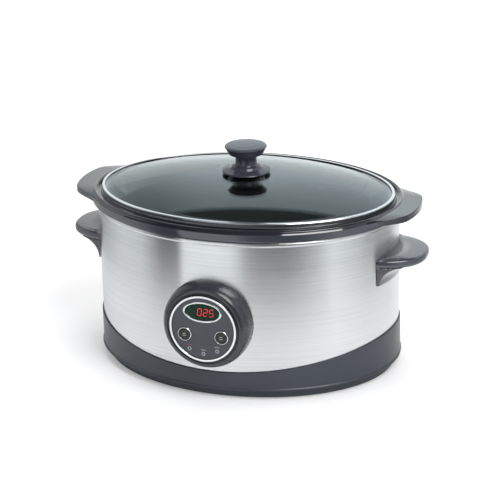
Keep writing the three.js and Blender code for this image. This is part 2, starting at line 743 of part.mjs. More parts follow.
function knob() {
  const low = KNOB_BASE;
  const top = low + KNOB_HEIGHT;
  const bore = SCREW_RADIUS + GAP;
  const outline = [
    [bore, low], [FLANGE_RADIUS - 1, low], [FLANGE_RADIUS, low + 0.8], [FLANGE_RADIUS - 0.6, low + 2],
    [COLLAR_RADIUS + 1, low + 4], [COLLAR_RADIUS - 1, low + 6.5], [NECK_RADIUS + 0.6, low + 7.5],
    [NECK_RADIUS, low + 10], [NECK_RADIUS, low + 16.5], [NECK_RADIUS + 2, low + 18.5],
    [KNOB_RADIUS - 3, top - 6], [KNOB_RADIUS - 0.4, top - 3.5], [KNOB_RADIUS, top - 2.5],
    [KNOB_RADIUS - 1, top - 1.5], [KNOB_RADIUS - 6, top - 0.5], [0, top], [0, low + 15], [bore, low + 15],
  ];
  return turned(closed(outline));
}

function underPlate() {
  const top = APEX - GLASS - GAP;
  const bore = SCREW_RADIUS + GAP;
  return turned(closed([
    [bore, top - UNDER_HEIGHT], [UNDER_RADIUS - 1, top - UNDER_HEIGHT],
    [UNDER_RADIUS, top - UNDER_HEIGHT + 1], [UNDER_RADIUS - 4, top], [bore, top],
  ]));
}

function knobScrew() {
  const head = APEX - GLASS - GAP - UNDER_HEIGHT - GAP;
  return screw(SCREW_RADIUS, KNOB_BASE + 13 - head).translate([0, 0, head]);
}

// ---------- assembly ----------
const finishes = {
  steel: { color: 0xc4c8cc, roughness: 0.35, metalness: 1 },
  slate: { color: 0x474c54, roughness: 0.35, metalness: 0 },
  darkGloss: { color: 0x24272c, roughness: 0.15, metalness: 0 },
  chrome: { color: 0xe6e8ea, roughness: 0.08, metalness: 1 },
  rubber: { color: 0x1b1b1c, roughness: 0.85, metalness: 0 },
  aluminium: { color: 0xb4b6b8, roughness: 0.45, metalness: 1 },
  mica: { color: 0xa79a7a, roughness: 0.6, metalness: 0 },
  board: { color: 0x1d5a36, roughness: 0.5, metalness: 0 },
  component: { color: 0x202225, roughness: 0.5, metalness: 0 },
  glaze: { color: 0x17181b, roughness: 0.12, metalness: 0 },
  glass: { color: 0xbfd2d3, roughness: 0.04, metalness: 0, transparent: true, opacity: 0.35 },
  window: { color: 0x0e2418, roughness: 0.1, metalness: 0 },
  light: { color: 0xc8c8cc, roughness: 0.3, metalness: 0 },
  silicone: { color: 0x2b2c2e, roughness: 0.8, metalness: 0 },
};

const group = new THREE.Group();

function place(name, solid, finish) {
  const mesh = new THREE.Mesh(geometryFrom(solid), new THREE.MeshStandardMaterial(finishes[finish]));
  mesh.name = name;
  group.add(mesh);
}

place('base_skirt', baseSkirt(), 'slate');
place('base_plate', basePlate(), 'aluminium');
corners(FOOT_X, FOOT_Y).forEach(([x, y], i) => place(`rubber_foot_${i + 1}`, foot(x, y), 'rubber'));
corners(POST_X, POST_Y).forEach(([x, y], i) => place(`base_screw_${i + 1}`, baseScrew(x, y), 'steel'));
place('steel_shell', steelShell(), 'steel');
place('handle_right', sideHandle(1), 'slate');
place('handle_left', sideHandle(-1), 'slate');
handleScrewPlaces().forEach((spot, i) => place(`handle_screw_${i + 1}`, handleScrew(spot), 'steel'));
place('heating_well', liner(), 'aluminium');
place('heating_band', heatingBand(), 'mica');
place('band_clamp', bandClamp(), 'steel');
corners(POST_X, POST_Y).forEach(([x, y], i) => place(`well_post_${i + 1}`, linerPost(x, y), 'steel'));
place('thermal_sensor', thermalSensor(), 'component');
place('thermal_fuse', thermalFuse(), 'component');
place('power_board', powerBoard(), 'board');
place('relay', relay(), 'component');
place('transformer', transformer(), 'component');
place('cord_inlet', cordInlet(), 'rubber');
place('control_boss', controlBoss(), 'darkGloss');
place('face_trim', faceTrim(), 'chrome');
place('control_face', controlFace(), 'slate');
place('window_trim', windowTrim(), 'chrome');
place('display_window', displayWindow(), 'window');
place('display_module', displayModule(), 'component');
place('button_trim_right', buttonTrim(1), 'chrome');
place('button_trim_left', buttonTrim(-1), 'chrome');
place('button_right', button(1), 'darkGloss');
place('button_left', button(-1), 'darkGloss');
place('switch_right', tactSwitch(1), 'component');
place('switch_left', tactSwitch(-1), 'component');
lightPlaces().forEach((spot, i) => place(`indicator_light_${i + 1}`, lightPipe(spot), 'light'));
place('control_board', controlBoard(), 'board');
postPlaces.forEach((spot, i) => place(`board_screw_${i + 1}`, boardScrew(spot), 'steel'));
place('crock', crock(), 'glaze');
place('lid_glass', lidGlass(), 'glass');
place('lid_band', lidBand(), 'chrome');
place('knob', knob(), 'slate');
place('knob_seal', knobSeal(), 'silicone');
place('knob_under_plate', underPlate(), 'darkGloss');
place('knob_screw', knobScrew(), 'steel');

// The origin lies under the middle of the whole object's footprint.
const box = new THREE.Box3().setFromObject(group);
group.position.set(0, -(box.min.y + box.max.y) / 2, -box.min.z);

export default group;
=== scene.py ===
import math

import bpy
import numpy as np
from mathutils import Matrix, Vector


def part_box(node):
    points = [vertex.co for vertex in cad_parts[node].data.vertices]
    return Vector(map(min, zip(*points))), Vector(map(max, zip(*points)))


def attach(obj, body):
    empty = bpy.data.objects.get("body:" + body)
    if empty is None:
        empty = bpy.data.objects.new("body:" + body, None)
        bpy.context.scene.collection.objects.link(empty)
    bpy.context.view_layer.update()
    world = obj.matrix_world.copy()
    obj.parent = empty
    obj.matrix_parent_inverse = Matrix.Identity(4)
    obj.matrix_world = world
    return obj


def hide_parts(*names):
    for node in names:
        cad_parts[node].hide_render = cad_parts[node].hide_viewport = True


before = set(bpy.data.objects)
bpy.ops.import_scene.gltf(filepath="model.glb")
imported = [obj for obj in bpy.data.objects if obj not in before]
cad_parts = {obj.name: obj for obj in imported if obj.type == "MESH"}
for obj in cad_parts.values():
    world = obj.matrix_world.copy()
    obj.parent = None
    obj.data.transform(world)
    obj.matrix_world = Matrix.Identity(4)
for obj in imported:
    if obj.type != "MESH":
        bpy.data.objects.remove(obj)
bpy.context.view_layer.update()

# Oval slow cooker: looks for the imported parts. Every size below is in millimetres unless a note says otherwise, and
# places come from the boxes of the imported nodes.
scene = bpy.context.scene
print("frame loaded,", len(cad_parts), "nodes")


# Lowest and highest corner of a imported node, in millimetres.
def boxOf(node):
    low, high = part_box(node)
    return np.array(low) * 1000, np.array(high) * 1000


shellLow, shellHigh = boxOf("steel_shell")
lipProud = 2.0                                    # the rolled lip stands this far out of the wall
halfA = shellHigh[0] - lipProud                   # half length of the steel wrap
halfB = (shellHigh[1] - shellLow[1]) / 2 - lipProud
middleY = (shellHigh[1] + shellLow[1]) / 2
shellTop = shellHigh[2]
edgeGap = 0.3                                     # between the skirt's top edge and the steel
skirtFront = shellLow[2] - edgeGap                # the skirt's top edge, at front and back
skirtRise = 22.0                                  # and how much higher it is at the two ends
faceLow, faceHigh = boxOf("control_face")
dialX = (faceLow[0] + faceHigh[0]) / 2
dialZ = (faceLow[2] + faceHigh[2]) / 2
panelFront = middleY - faceLow[1]                 # the face, measured from the middle plane


# Bends the corners of an outline. Two helper points stand at the radius from each corner, then each pass puts
# points at one quarter and three quarters of every side, which turns a corner into a smooth bend. On a short side
# the helpers stand no further in than the share called most.
def rounded(outline, radius, closed=True, passes=2, most=0.34):
    points = np.asarray(outline, float)
    following = np.roll(points, -1, axis=0)
    if not closed:
        following = following[:-1]
    start = points[: len(following)]
    side = following - start
    length = np.linalg.norm(side, axis=1, keepdims=True) + 1e-9
    share = np.minimum(radius / length, most)
    stack = np.stack([start, start + side * share, following - side * share], axis=1)
    shape = stack.reshape(-1, points.shape[1])
    if not closed:
        shape = np.vstack([shape, points[-1:]])
    for _ in range(passes):
        ahead = np.roll(shape, -1, axis=0)
        first, last = shape[:1], shape[-1:]
        if not closed:
            ahead, shape = ahead[:-1], shape[:-1]
        cut = np.stack([shape * 0.75 + ahead * 0.25, shape * 0.25 + ahead * 0.75], axis=1)
        shape = cut.reshape(-1, points.shape[1])
        if not closed:
            shape = np.vstack([first, shape, last])
    return shape


# Points on a circle: centre + radius * (cos, sin) of evenly spaced angles.
def arc(centre, radius, startDegrees, endDegrees, steps):
    angle = np.radians(np.linspace(startDegrees, endDegrees, steps))
    return np.stack([centre[0] + radius * np.cos(angle), centre[1] + radius * np.sin(angle)], axis=1)


# Height of the skirt's top edge: a parabola, front height + rise * (x / half length) squared.
def skirtEdge(x):
    return skirtFront + skirtRise * (x / halfA) ** 2


# Angles of one whole turn, without the last, which would fall on the first.
def wholeTurn(columns):
    return np.linspace(0, 2 * np.pi, columns, endpoint=False)


# Each station (inset, height, share) becomes a ring: x = (halfA - inset) cos t, y = (halfB - inset) sin t, z =
# height + share * the skirt edge's height at that x.
def ovalGrid(profile, columns):
    turn = wholeTurn(columns)
    inset = profile[:, 0:1]
    x = (halfA - inset) * np.cos(turn)
    y = middleY + (halfB - inset) * np.sin(turn)
    share = profile[:, 2:3] if profile.shape[1] > 2 else 0.0
    z = profile[:, 1:2] + share * skirtEdge(halfA * np.cos(turn)) + 0 * turn
    return np.stack([x, y, z], axis=2)


# Each station (half length, half width, height) becomes the ellipse x = a cos t, y = b sin t at that height.
def freeOvalGrid(profile, columns):
    turn = wholeTurn(columns)
    x = profile[:, 0:1] * np.cos(turn)
    y = middleY + profile[:, 1:2] * np.sin(turn)
    return np.stack([x, y, profile[:, 2:3] + 0 * turn], axis=2)


# Each station (radius, height) becomes a circle round an upright axis through centre.
def turnedGrid(profile, centre, columns):
    turn = wholeTurn(columns)
    x = centre[0] + profile[:, 0:1] * np.cos(turn)
    y = centre[1] + profile[:, 0:1] * np.sin(turn)
    return np.stack([x, y, profile[:, 1:2] + 0 * turn], axis=2)


# The same on the control panel, whose axis points forwards: each station (radius, reach) becomes a circle there.
def panelGrid(profile, right, up, columns):
    turn = wholeTurn(columns)
    wide = profile[:, 0:1]
    x = dialX + right + wide * np.cos(turn)
    z = dialZ + up + wide * np.sin(turn)
    return np.stack([x, middleY - profile[:, 1:2] + 0 * turn, z], axis=2)


# Quads as lists. One with two corners at the same point loses the spare corner and becomes a triangle.
def facesOf(quads):
    same = quads == np.roll(quads, -1, axis=1)
    count = same.sum(axis=1)
    narrow = quads[count == 1]
    spare = same[count == 1].argmax(axis=1)
    keep = (spare[:, None] + np.arange(1, 4)) % 4
    triangles = np.take_along_axis(narrow, keep, axis=1)
    return quads[count == 0].tolist() + triangles.tolist()


# Puts points and quads into a mesh: points that coincide are made one, and if the signed volume of the closed
# surface, the sum of corner . (corner x corner) over its triangles, is negative, the faces are turned round.
def meshPiece(name, points, quads, body, finish, replaces=(), smooth=True):
    points = np.round(np.asarray(points, float).reshape(-1, 3) / 1000, 8)
    unique, back = np.unique(points, axis=0, return_inverse=True)
    quads = back.reshape(-1)[quads]
    a, b, c, d = (unique[quads[:, k]] for k in range(4))
    volume = (a * np.cross(b, c)).sum() + (a * np.cross(c, d)).sum()
    if volume < 0:
        quads = quads[:, ::-1]
    mesh = bpy.data.meshes.new(name)
    mesh.from_pydata(unique.tolist(), [], facesOf(quads))
    mesh.polygons.foreach_set("use_smooth", [smooth] * len(mesh.polygons))
    mesh.validate()
    mesh.update()
    piece = bpy.data.objects.new(name, mesh)
    scene.collection.objects.link(piece)
    mesh.materials.append(finish)
    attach(piece, body)
    if replaces:
        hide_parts(*replaces)
    return piece


# Index quads of a grid whose columns always close, and whose rows close when the profile is a loop.
def gridQuads(rows, columns, closedRows):
    index = np.arange(rows * columns).reshape(rows, columns)
    below = index if closedRows else index[:-1]
    above = np.roll(index, -1, axis=0) if closedRows else index[1:]
    corners = [below, np.roll(below, -1, axis=1), np.roll(above, -1, axis=1), above]
    return np.stack(corners, axis=-1).reshape(-1, 4)


# A piece made of one grid of points.
def gridPiece(name, grid, body, finish, replaces=(), closedRows=True):
    quads = gridQuads(grid.shape[0], grid.shape[1], closedRows)
    return meshPiece(name, grid, quads, body, finish, replaces)


# A node with its settings and inputs: a socket is linked, anything else becomes the input's own value.
def addNode(tree, kind, values=None, **settings):
    node = tree.nodes.new(kind)
    for key, value in settings.items():
        setattr(node, key, value)
    for key, value in (values or {}).items():
        if isinstance(value, bpy.types.NodeSocket):
            tree.links.new(value, node.inputs[key])
        else:
            node.inputs[key].default_value = value
    return node


# An empty shader group. Inputs are (label, kind, value) and outputs are (label, kind).
def newGroup(name, inputs, outputs):
    tree = bpy.data.node_groups.new(name, "ShaderNodeTree")
    for label, kind, value in inputs:
        tree.interface.new_socket(label, in_out="INPUT", socket_type=kind).default_value = value
    for label, kind in outputs:
        tree.interface.new_socket(label, in_out="OUTPUT", socket_type=kind)
    return tree, addNode(tree, "NodeGroupInput"), addNode(tree, "NodeGroupOutput")


# Scales are in features per metre, and depth, the height of a bump, in metres.
grainValues = {"grain": 900.0, "patch": 14.0, "rub": 55.0, "rubWarp": 1.2, "rubFrom": 0.48, "rubTo": 0.75,
               "depth": 0.0002}


# Moulded surface: fine noise for the height, broad noise for a slow change of shade, and a smudge mask.
def grainGroup(v):
    inputs = [("Grain", "NodeSocketFloat", v["grain"]), ("Patch", "NodeSocketFloat", v["patch"])]
    outputs = [("Height", "NodeSocketFloat"), ("Shade", "NodeSocketFloat"), ("Smudge", "NodeSocketFloat")]
    tree, given, result = newGroup("mouldedGrain", inputs, outputs)
    where = addNode(tree, "ShaderNodeTexCoord").outputs["Object"]
    fine = addNode(tree, "ShaderNodeTexNoise", {"Vector": where, "Scale": given.outputs["Grain"], "Detail": 3.0})
    broad = addNode(tree, "ShaderNodeTexNoise", {"Vector": where, "Scale": given.outputs["Patch"], "Detail": 4.0})
    rub = addNode(tree, "ShaderNodeTexNoise", {"Vector": where, "Scale": v["rub"], "Detail": 5.0,
                                               "Distortion": v["rubWarp"]})
    smudge = addNode(tree, "ShaderNodeMapRange", {"Value": rub.outputs["Fac"], "From Min": v["rubFrom"],
                                                  "From Max": v["rubTo"]})
    tree.links.new(fine.outputs["Fac"], result.inputs["Height"])
    tree.links.new(broad.outputs["Fac"], result.inputs["Shade"])
    tree.links.new(smudge.outputs["Result"], result.inputs["Smudge"])
    return tree


# Each noise has a scale upwards and a far smaller one along the sheet, called its run.
brushValues = {"lines": 2600.0, "lineRun": 9.0, "streaks": 260.0, "streakRun": 3.0, "clouds": 9.0, "cloudRun": 6.0,
               "depth": 0.0001}


# Brushed sheet: noise squeezed to thin level lines, longer streaks and broad clouds, each an output of its own.
def brushGroup(v):
    inputs = [("Lines", "NodeSocketFloat", v["lines"]), ("Streaks", "NodeSocketFloat", v["streaks"])]
    outputs = [("Height", "NodeSocketFloat"), ("Streak", "NodeSocketFloat"), ("Cloud", "NodeSocketFloat")]
    tree, given, result = newGroup("brushedLines", inputs, outputs)
    where = addNode(tree, "ShaderNodeTexCoord").outputs["Object"]
    parts = addNode(tree, "ShaderNodeSeparateXYZ", {"Vector": where})

    def squeezed(run, scale, detail):
        scaled = {}
        for axis, by in (("X", run), ("Y", run), ("Z", scale)):
            times = addNode(tree, "ShaderNodeMath", {0: parts.outputs[axis], 1: by}, operation="MULTIPLY")
            scaled[axis] = times.outputs[0]
        point = addNode(tree, "ShaderNodeCombineXYZ", scaled)
        noise = addNode(tree, "ShaderNodeTexNoise", {"Vector": point.outputs[0], "Scale": 1.0, "Detail": detail})
        return noise.outputs["Fac"]

    fine = squeezed(v["lineRun"], given.outputs["Lines"], 2.0)
    streak = squeezed(v["streakRun"], given.outputs["Streaks"], 3.0)
    cloud = squeezed(v["cloudRun"], v["clouds"], 3.0)
    tree.links.new(fine, result.inputs["Height"])
    tree.links.new(streak, result.inputs["Streak"])
    tree.links.new(cloud, result.inputs["Cloud"])
    return tree


mouldedGrain = grainGroup(grainValues)
brushedLines = brushGroup(brushValues)


# A material whose shader gets the values that are the same all over the surface.
def newMaterial(name, look):
    material = bpy.data.materials.new(name)
    material.use_nodes = True
    tree = material.node_tree
    shader = tree.nodes["Principled BSDF"]
    for key, value in look.get("sockets", {}).items():
        shader.inputs[key].default_value = value
    return material, tree, shader


# Mixes two colours by a factor that changes over the surface.
def blended(tree, factor, dark, light):
    mix = addNode(tree, "ShaderNodeMix", {"Factor": factor, "A": (*dark, 1), "B": (*light, 1)}, data_type="RGBA")
    return mix.outputs["Result"]


# Maps a value from one range to another and holds it at both ends.
def ranged(tree, value, low, high, fromLow=0.3, fromHigh=0.7):
    given = {"Value": value, "From Min": fromLow, "From Max": fromHigh, "To Min": low, "To Max": high}
    return addNode(tree, "ShaderNodeMapRange", given).outputs["Result"]


# Plastic, rubber, glaze and paint: two close shades, a rub mask in the roughness and a fine grain in the bump.
def mouldedFinish(name, look):
    material, tree, shader = newMaterial(name, look)
    grain = addNode(tree, "ShaderNodeGroup", node_tree=mouldedGrain)
    grain.inputs["Grain"].default_value = look["grain"]
    grain.inputs["Patch"].default_value = look.get("patch", grainValues["patch"])
    shade = ranged(tree, grain.outputs["Shade"], 0.0, 1.0)
    tree.links.new(blended(tree, shade, look["dark"], look["light"]), shader.inputs["Base Color"])
    rough = ranged(tree, grain.outputs["Smudge"], look["rough"], look["rough"] + look["rub"], 0.0, 1.0)
    tree.links.new(rough, shader.inputs["Roughness"])
    bump = addNode(tree, "ShaderNodeBump", {"Height": grain.outputs["Height"], "Strength": look["bump"],
                                            "Distance": grainValues["depth"]})
    tree.links.new(bump.outputs["Normal"], shader.inputs["Normal"])
    return material


# Brushed or drawn metal: level lines in the bump and the roughness, streaks and clouds in the colour.
def brushedFinish(name, look):
    material, tree, shader = newMaterial(name, look)
    lines = addNode(tree, "ShaderNodeGroup", node_tree=brushedLines)
    lines.inputs["Lines"].default_value = look["lines"]
    lines.inputs["Streaks"].default_value = look["streaks"]
    half = addNode(tree, "ShaderNodeMath", {0: lines.outputs["Streak"], 1: lines.outputs["Cloud"]}, operation="ADD")
    shade = ranged(tree, half.outputs[0], 0.0, 1.0, 0.7, 1.3)
    tree.links.new(blended(tree, shade, look["dark"], look["light"]), shader.inputs["Base Color"])
    tree.links.new(ranged(tree, lines.outputs["Height"], look["rough"], look["rough"] + look["rub"]),
                   shader.inputs["Roughness"])
    bump = addNode(tree, "ShaderNodeBump", {"Height": lines.outputs["Height"], "Strength": look["bump"],
                                            "Distance": brushValues["depth"]})
    tree.links.new(bump.outputs["Normal"], shader.inputs["Normal"])
    return material


slatePlastic = mouldedFinish("slatePlastic", {
    "dark": (0.034, 0.042, 0.054), "light": (0.042, 0.051, 0.065), "rough": 0.30, "rub": 0.10, "grain": 1300.0,
    "bump": 0.10, "sockets": {"IOR": 1.5}})
handlePlastic = mouldedFinish("handlePlastic", {
    "dark": (0.040, 0.044, 0.058), "light": (0.052, 0.056, 0.072), "rough": 0.17, "rub": 0.10, "grain": 1100.0,
    "bump": 0.06, "sockets": {"IOR": 1.55, "Coat Weight": 1.0, "Coat Roughness": 0.10}})
knobPlastic = mouldedFinish("knobPlastic", {
    "dark": (0.036, 0.039, 0.052), "light": (0.046, 0.050, 0.065), "rough": 0.20, "rub": 0.10, "grain": 1100.0,
    "bump": 0.06, "sockets": {"IOR": 1.46, "Coat Weight": 0.25, "Coat Roughness": 0.08}})
bossPlastic = mouldedFinish("bossPlastic", {
    "dark": (0.018, 0.021, 0.028), "light": (0.025, 0.029, 0.037), "rough": 0.24, "rub": 0.08, "grain": 1400.0,
    "bump": 0.01, "sockets": {"IOR": 1.55, "Coat Weight": 0.35, "Coat Roughness": 0.12}})
facePlastic = mouldedFinish("facePlastic", {
    "dark": (0.052, 0.059, 0.070), "light": (0.062, 0.070, 0.083), "rough": 0.42, "rub": 0.12, "grain": 1800.0,
    "bump": 0.12, "sockets": {"IOR": 1.45}})
buttonPlastic = mouldedFinish("buttonPlastic", {
    "dark": (0.014, 0.017, 0.016), "light": (0.020, 0.024, 0.022), "rough": 0.34, "rub": 0.12, "grain": 1500.0,
    "bump": 0.10, "sockets": {"IOR": 1.45}})


# Heights are depths below the crock's top, and the lug's two are distances in from the crock's end. The shade is a
# painted reflection.
rimReflectionValues = {"shade": (0.042, 0.046, 0.060), "full": 4.6, "none": 3.4, "lugInner": 31.0, "lugOuter": 25.0}


# Painted reflection: below the rim's edge the base colour turns to a lighter shade, except out on the lugs.
def paintedRimReflection(finish, v):
    end, _, top = boxOf("crock")[1]
    tree = finish.node_tree
    shader = tree.nodes["Principled BSDF"]
    colour = shader.inputs["Base Color"].links[0].from_socket
    where = addNode(tree, "ShaderNodeTexCoord").outputs["Object"]
    parts = addNode(tree, "ShaderNodeSeparateXYZ", {"Vector": where}).outputs
    along = addNode(tree, "ShaderNodeMath", {0: parts["X"]}, operation="ABSOLUTE").outputs[0]
    lowered = ranged(tree, parts["Z"], 1.0, 0.0, (top - v["full"]) / 1000, (top - v["none"]) / 1000)
    within = ranged(tree, along, 1.0, 0.0, (end - v["lugInner"]) / 1000, (end - v["lugOuter"]) / 1000)
    share = addNode(tree, "ShaderNodeMath", {0: lowered, 1: within}, operation="MULTIPLY").outputs[0]
    # Painted reflection: this lighter shade stands in for the sky seen in the rim's outer face.
    mix = addNode(tree, "ShaderNodeMix", {"Factor": share, "A": colour, "B": (*v["shade"], 1)}, data_type="RGBA")
    tree.links.new(mix.outputs["Result"], shader.inputs["Base Color"])


blackGlaze = mouldedFinish("blackGlaze", {
    "dark": (0.006, 0.006, 0.010), "light": (0.012, 0.012, 0.018), "rough": 0.07, "rub": 0.05, "grain": 140.0,
    "bump": 0.05, "sockets": {"IOR": 1.58, "Coat Weight": 1.0, "Coat Roughness": 0.03}})
# The rim's outer face gets a painted reflection in its base colour.
paintedRimReflection(blackGlaze, rimReflectionValues)
innerGlaze = mouldedFinish("innerGlaze", {
    "dark": (0.010, 0.011, 0.009), "light": (0.017, 0.018, 0.015), "rough": 0.60, "rub": 0.15, "grain": 160.0,
    "bump": 0.12, "sockets": {"IOR": 1.35, "Specular IOR Level": 0.06}})
footRubber = mouldedFinish("footRubber", {
    "dark": (0.012, 0.012, 0.013), "light": (0.024, 0.024, 0.025), "rough": 0.72, "rub": 0.2, "grain": 800.0,
    "bump": 0.35, "sockets": {"IOR": 1.45}})
siliconeFinish = mouldedFinish("siliconeFinish", {
    "dark": (0.020, 0.021, 0.023), "light": (0.032, 0.033, 0.036), "rough": 0.55, "rub": 0.15, "grain": 700.0,
    "bump": 0.18, "sockets": {"IOR": 1.42, "Sheen Weight": 0.2}})
micaFinish = mouldedFinish("micaFinish", {
    "dark": (0.30, 0.24, 0.15), "light": (0.44, 0.37, 0.25), "rough": 0.38, "rub": 0.25, "grain": 420.0,
    "patch": 60.0, "bump": 0.3, "sockets": {"IOR": 1.58}})
boardFinish = mouldedFinish("boardFinish", {
    "dark": (0.010, 0.075, 0.030), "light": (0.018, 0.115, 0.048), "rough": 0.35, "rub": 0.2, "grain": 1500.0,
    "patch": 160.0, "bump": 0.25, "sockets": {"IOR": 1.5}})
componentPlastic = mouldedFinish("componentPlastic", {
    "dark": (0.016, 0.017, 0.019), "light": (0.028, 0.029, 0.032), "rough": 0.5, "rub": 0.15, "grain": 1600.0,
    "bump": 0.3, "sockets": {"IOR": 1.48}})
printInk = mouldedFinish("printInk", {
    "dark": (0.30, 0.31, 0.34), "light": (0.42, 0.43, 0.46), "rough": 0.5, "rub": 0.15, "grain": 3000.0,
    "bump": 0.1, "sockets": {"IOR": 1.45}})
redInk = mouldedFinish("redInk", {
    "dark": (0.22, 0.07, 0.08), "light": (0.30, 0.10, 0.11), "rough": 0.5, "rub": 0.15, "grain": 3000.0,
    "bump": 0.1, "sockets": {"IOR": 1.45}})
windowFilter = mouldedFinish("windowFilter", {
    "dark": (0.001, 0.016, 0.009), "light": (0.002, 0.034, 0.019), "rough": 0.10, "rub": 0.06, "grain": 300.0,
    "patch": 90.0, "bump": 0.02, "sockets": {"IOR": 1.30}})
brushedSteel = brushedFinish("brushedSteel", {
    "dark": (0.705, 0.724, 0.735), "light": (0.825, 0.844, 0.855), "rough": 0.20, "rub": 0.06, "lines": 3400.0,
    "streaks": 900.0, "bump": 0.05, "sockets": {"Metallic": 1.0, "Anisotropic": 0.9, "Anisotropic Rotation": 0.25}})
brightTrim = brushedFinish("brightTrim", {
    "dark": (0.84, 0.85, 0.86), "light": (0.92, 0.93, 0.94), "rough": 0.16, "rub": 0.08, "lines": 900.0,
    "streaks": 120.0, "bump": 0.02, "sockets": {"Metallic": 1.0}})
drawnSheet = brushedFinish("drawnSheet", {
    "dark": (0.42, 0.43, 0.44), "light": (0.54, 0.55, 0.56), "rough": 0.34, "rub": 0.16, "lines": 700.0,
    "streaks": 120.0, "bump": 0.12, "sockets": {"Metallic": 1.0}})
screwSteel = brushedFinish("screwSteel", {
    "dark": (0.46, 0.46, 0.46), "light": (0.60, 0.60, 0.60), "rough": 0.28, "rub": 0.2, "lines": 1800.0,
    "streaks": 400.0, "bump": 0.1, "sockets": {"Metallic": 1.0}})


# Clear lid glass: constant body, with a faint film of smears in the roughness only.
def lidGlassFinish(look):
    material, tree, shader = newMaterial("clearGlass", look)
    grain = addNode(tree, "ShaderNodeGroup", node_tree=mouldedGrain)
    grain.inputs["Grain"].default_value = look["grain"]
    grain.inputs["Patch"].default_value = look["patch"]
    tree.links.new(ranged(tree, grain.outputs["Smudge"], look["rough"], look["rough"] + look["rub"], 0.0, 1.0),
                   shader.inputs["Roughness"])
    shade = ranged(tree, grain.outputs["Shade"], 0.0, 1.0)
    tree.links.new(blended(tree, shade, look["dark"], look["light"]), shader.inputs["Base Color"])
    return material


clearGlass = lidGlassFinish({
    "dark": (0.86, 0.93, 0.92), "light": (0.90, 0.96, 0.95), "rough": 0.01, "rub": 0.03, "grain": 300.0, "patch": 7.0,
    "sockets": {"Metallic": 0.0, "Transmission Weight": 1.0, "IOR": 1.52, "Specular Tint": (0.86, 0.97, 1.0, 1)}})


barGrain = {"Grain": 2500.0, "Patch": 500.0}


# A lit or unlit numeral bar: its colour and glow vary a little along the bar.
def glowFinish(name, look):
    material, tree, shader = newMaterial(name, look)
    grain = addNode(tree, "ShaderNodeGroup", node_tree=mouldedGrain)
    for key, value in barGrain.items():
        grain.inputs[key].default_value = value
    shade = ranged(tree, grain.outputs["Shade"], 0.0, 1.0)
    colour = blended(tree, shade, look["dark"], look["light"])
    tree.links.new(colour, shader.inputs["Base Color"])
    if look["glow"] > 0:
        tree.links.new(colour, shader.inputs["Emission Color"])
        shader.inputs["Emission Strength"].default_value = look["glow"]
    return material


litBar = glowFinish("litBar", {"dark": (0.62, 0.015, 0.020), "light": (0.80, 0.03, 0.04), "glow": 0.35,
                               "sockets": {"Roughness": 0.4}})
darkBar = glowFinish("darkBar", {"dark": (0.014, 0.020, 0.014), "light": (0.020, 0.026, 0.018), "glow": 0.0,
                                 "sockets": {"Roughness": 0.4}})
lampLens = glowFinish("lampLens", {"dark": (0.10, 0.10, 0.11), "light": (0.16, 0.16, 0.17), "glow": 0.0,
                                   "sockets": {"Roughness": 0.15, "Coat Weight": 0.5}})
print("finishes ready,", len(bpy.data.materials))

# The lip's points are (share of its reach, height above its start).
wrapValues = {"columns": 240, "sheet": 1.0, "lip": 5.0, "crest": 0.6, "seat": 11.0, "bend": 0.9,
              "lipOutside": [(0.0, -0.2), (0.75, 0.5), (1.0, 1.6), (1.0, 3.4), (0.7, 4.6)],
              "lipInside": [(0.45, 3.3), (0.45, 1.8)]}


# Stations are (inset, height, share of the skirt edge's height): up the outside, over the rolled lip, in to the
# seat of the well, and back down the inside a sheet's thickness away. The section is carried round the oval.
def buildSteelWrap(v):
    lip, sheet = shellTop - v["lip"], v["sheet"]
    outside = [(-lipProud * share, lip + rise, 0) for share, rise in v["lipOutside"]]
    inside = [(-lipProud * share, lip + rise, 0) for share, rise in v["lipInside"]]
    profile = rounded([
        (0.0, edgeGap, 1), *outside, (v["crest"], shellTop, 0), (v["seat"], shellTop, 0),
        (v["seat"], shellTop - sheet, 0), (v["crest"], shellTop - sheet, 0), *inside, (sheet, lip, 0),
        (sheet, edgeGap, 1)], v["bend"])
    return gridPiece("steelWrap", ovalGrid(profile, v["columns"]), "housing", brushedSteel,
                     ["steel_shell"])


buildSteelWrap(wrapValues)

# The roll, the haunch inside it and the slopes are measured from the foot ring's top and the wall.
skirtValues = {"columns": 240, "proud": 1.5, "wall": 3.3, "ringTop": 10.5, "ringInset": 4.2, "ringLow": 1.2,
               "ledge": 11.3, "ledgeTop": 4.5, "spigot": 8.0, "spigotInset": 1.35, "bend": 0.7,
               "roll": 1.2, "rollRises": (1.0, 2.0, 3.2), "haunch": 2.2, "haunchRises": (0.8, 2.5),
               "slope": 0.6, "ringEase": 0.4}


# The same kind of section: outer wall, top edge, the spigot behind the wrap, inner wall, ledge for the base plate,
# foot ring, and the rolled lower edge of the outer wall.
def buildBaseSkirt(v):
    out, ring, wall, haunch = -v["proud"], v["ringTop"], v["wall"], v["wall"] + v["haunch"]
    rollLow, rollMiddle, rollTop = (ring + rise for rise in v["rollRises"])
    haunchLow, haunchTop = (ring + rise for rise in v["haunchRises"])
    profile = rounded([
        (out - v["roll"], rollLow, 0), (out - v["roll"], rollMiddle, 0), (out, rollTop, 0), (out, 0.0, 1),
        (v["spigotInset"], 0.0, 1), (v["spigotInset"], v["spigot"], 1), (wall, v["spigot"], 1), (wall, haunchTop, 0),
        (haunch, haunchLow, 0), (haunch, v["ledgeTop"], 0), (v["ledge"], v["ledgeTop"], 0),
        (v["ledge"], v["ringLow"], 0), (v["ringInset"] + v["slope"], v["ringLow"], 0),
        (v["ringInset"], ring - v["ringEase"], 0), (out + v["slope"], ring, 0)], v["bend"])
    return gridPiece("baseSkirt", ovalGrid(profile, v["columns"]), "housing", slatePlastic,
                     ["base_skirt"])


buildBaseSkirt(skirtValues)

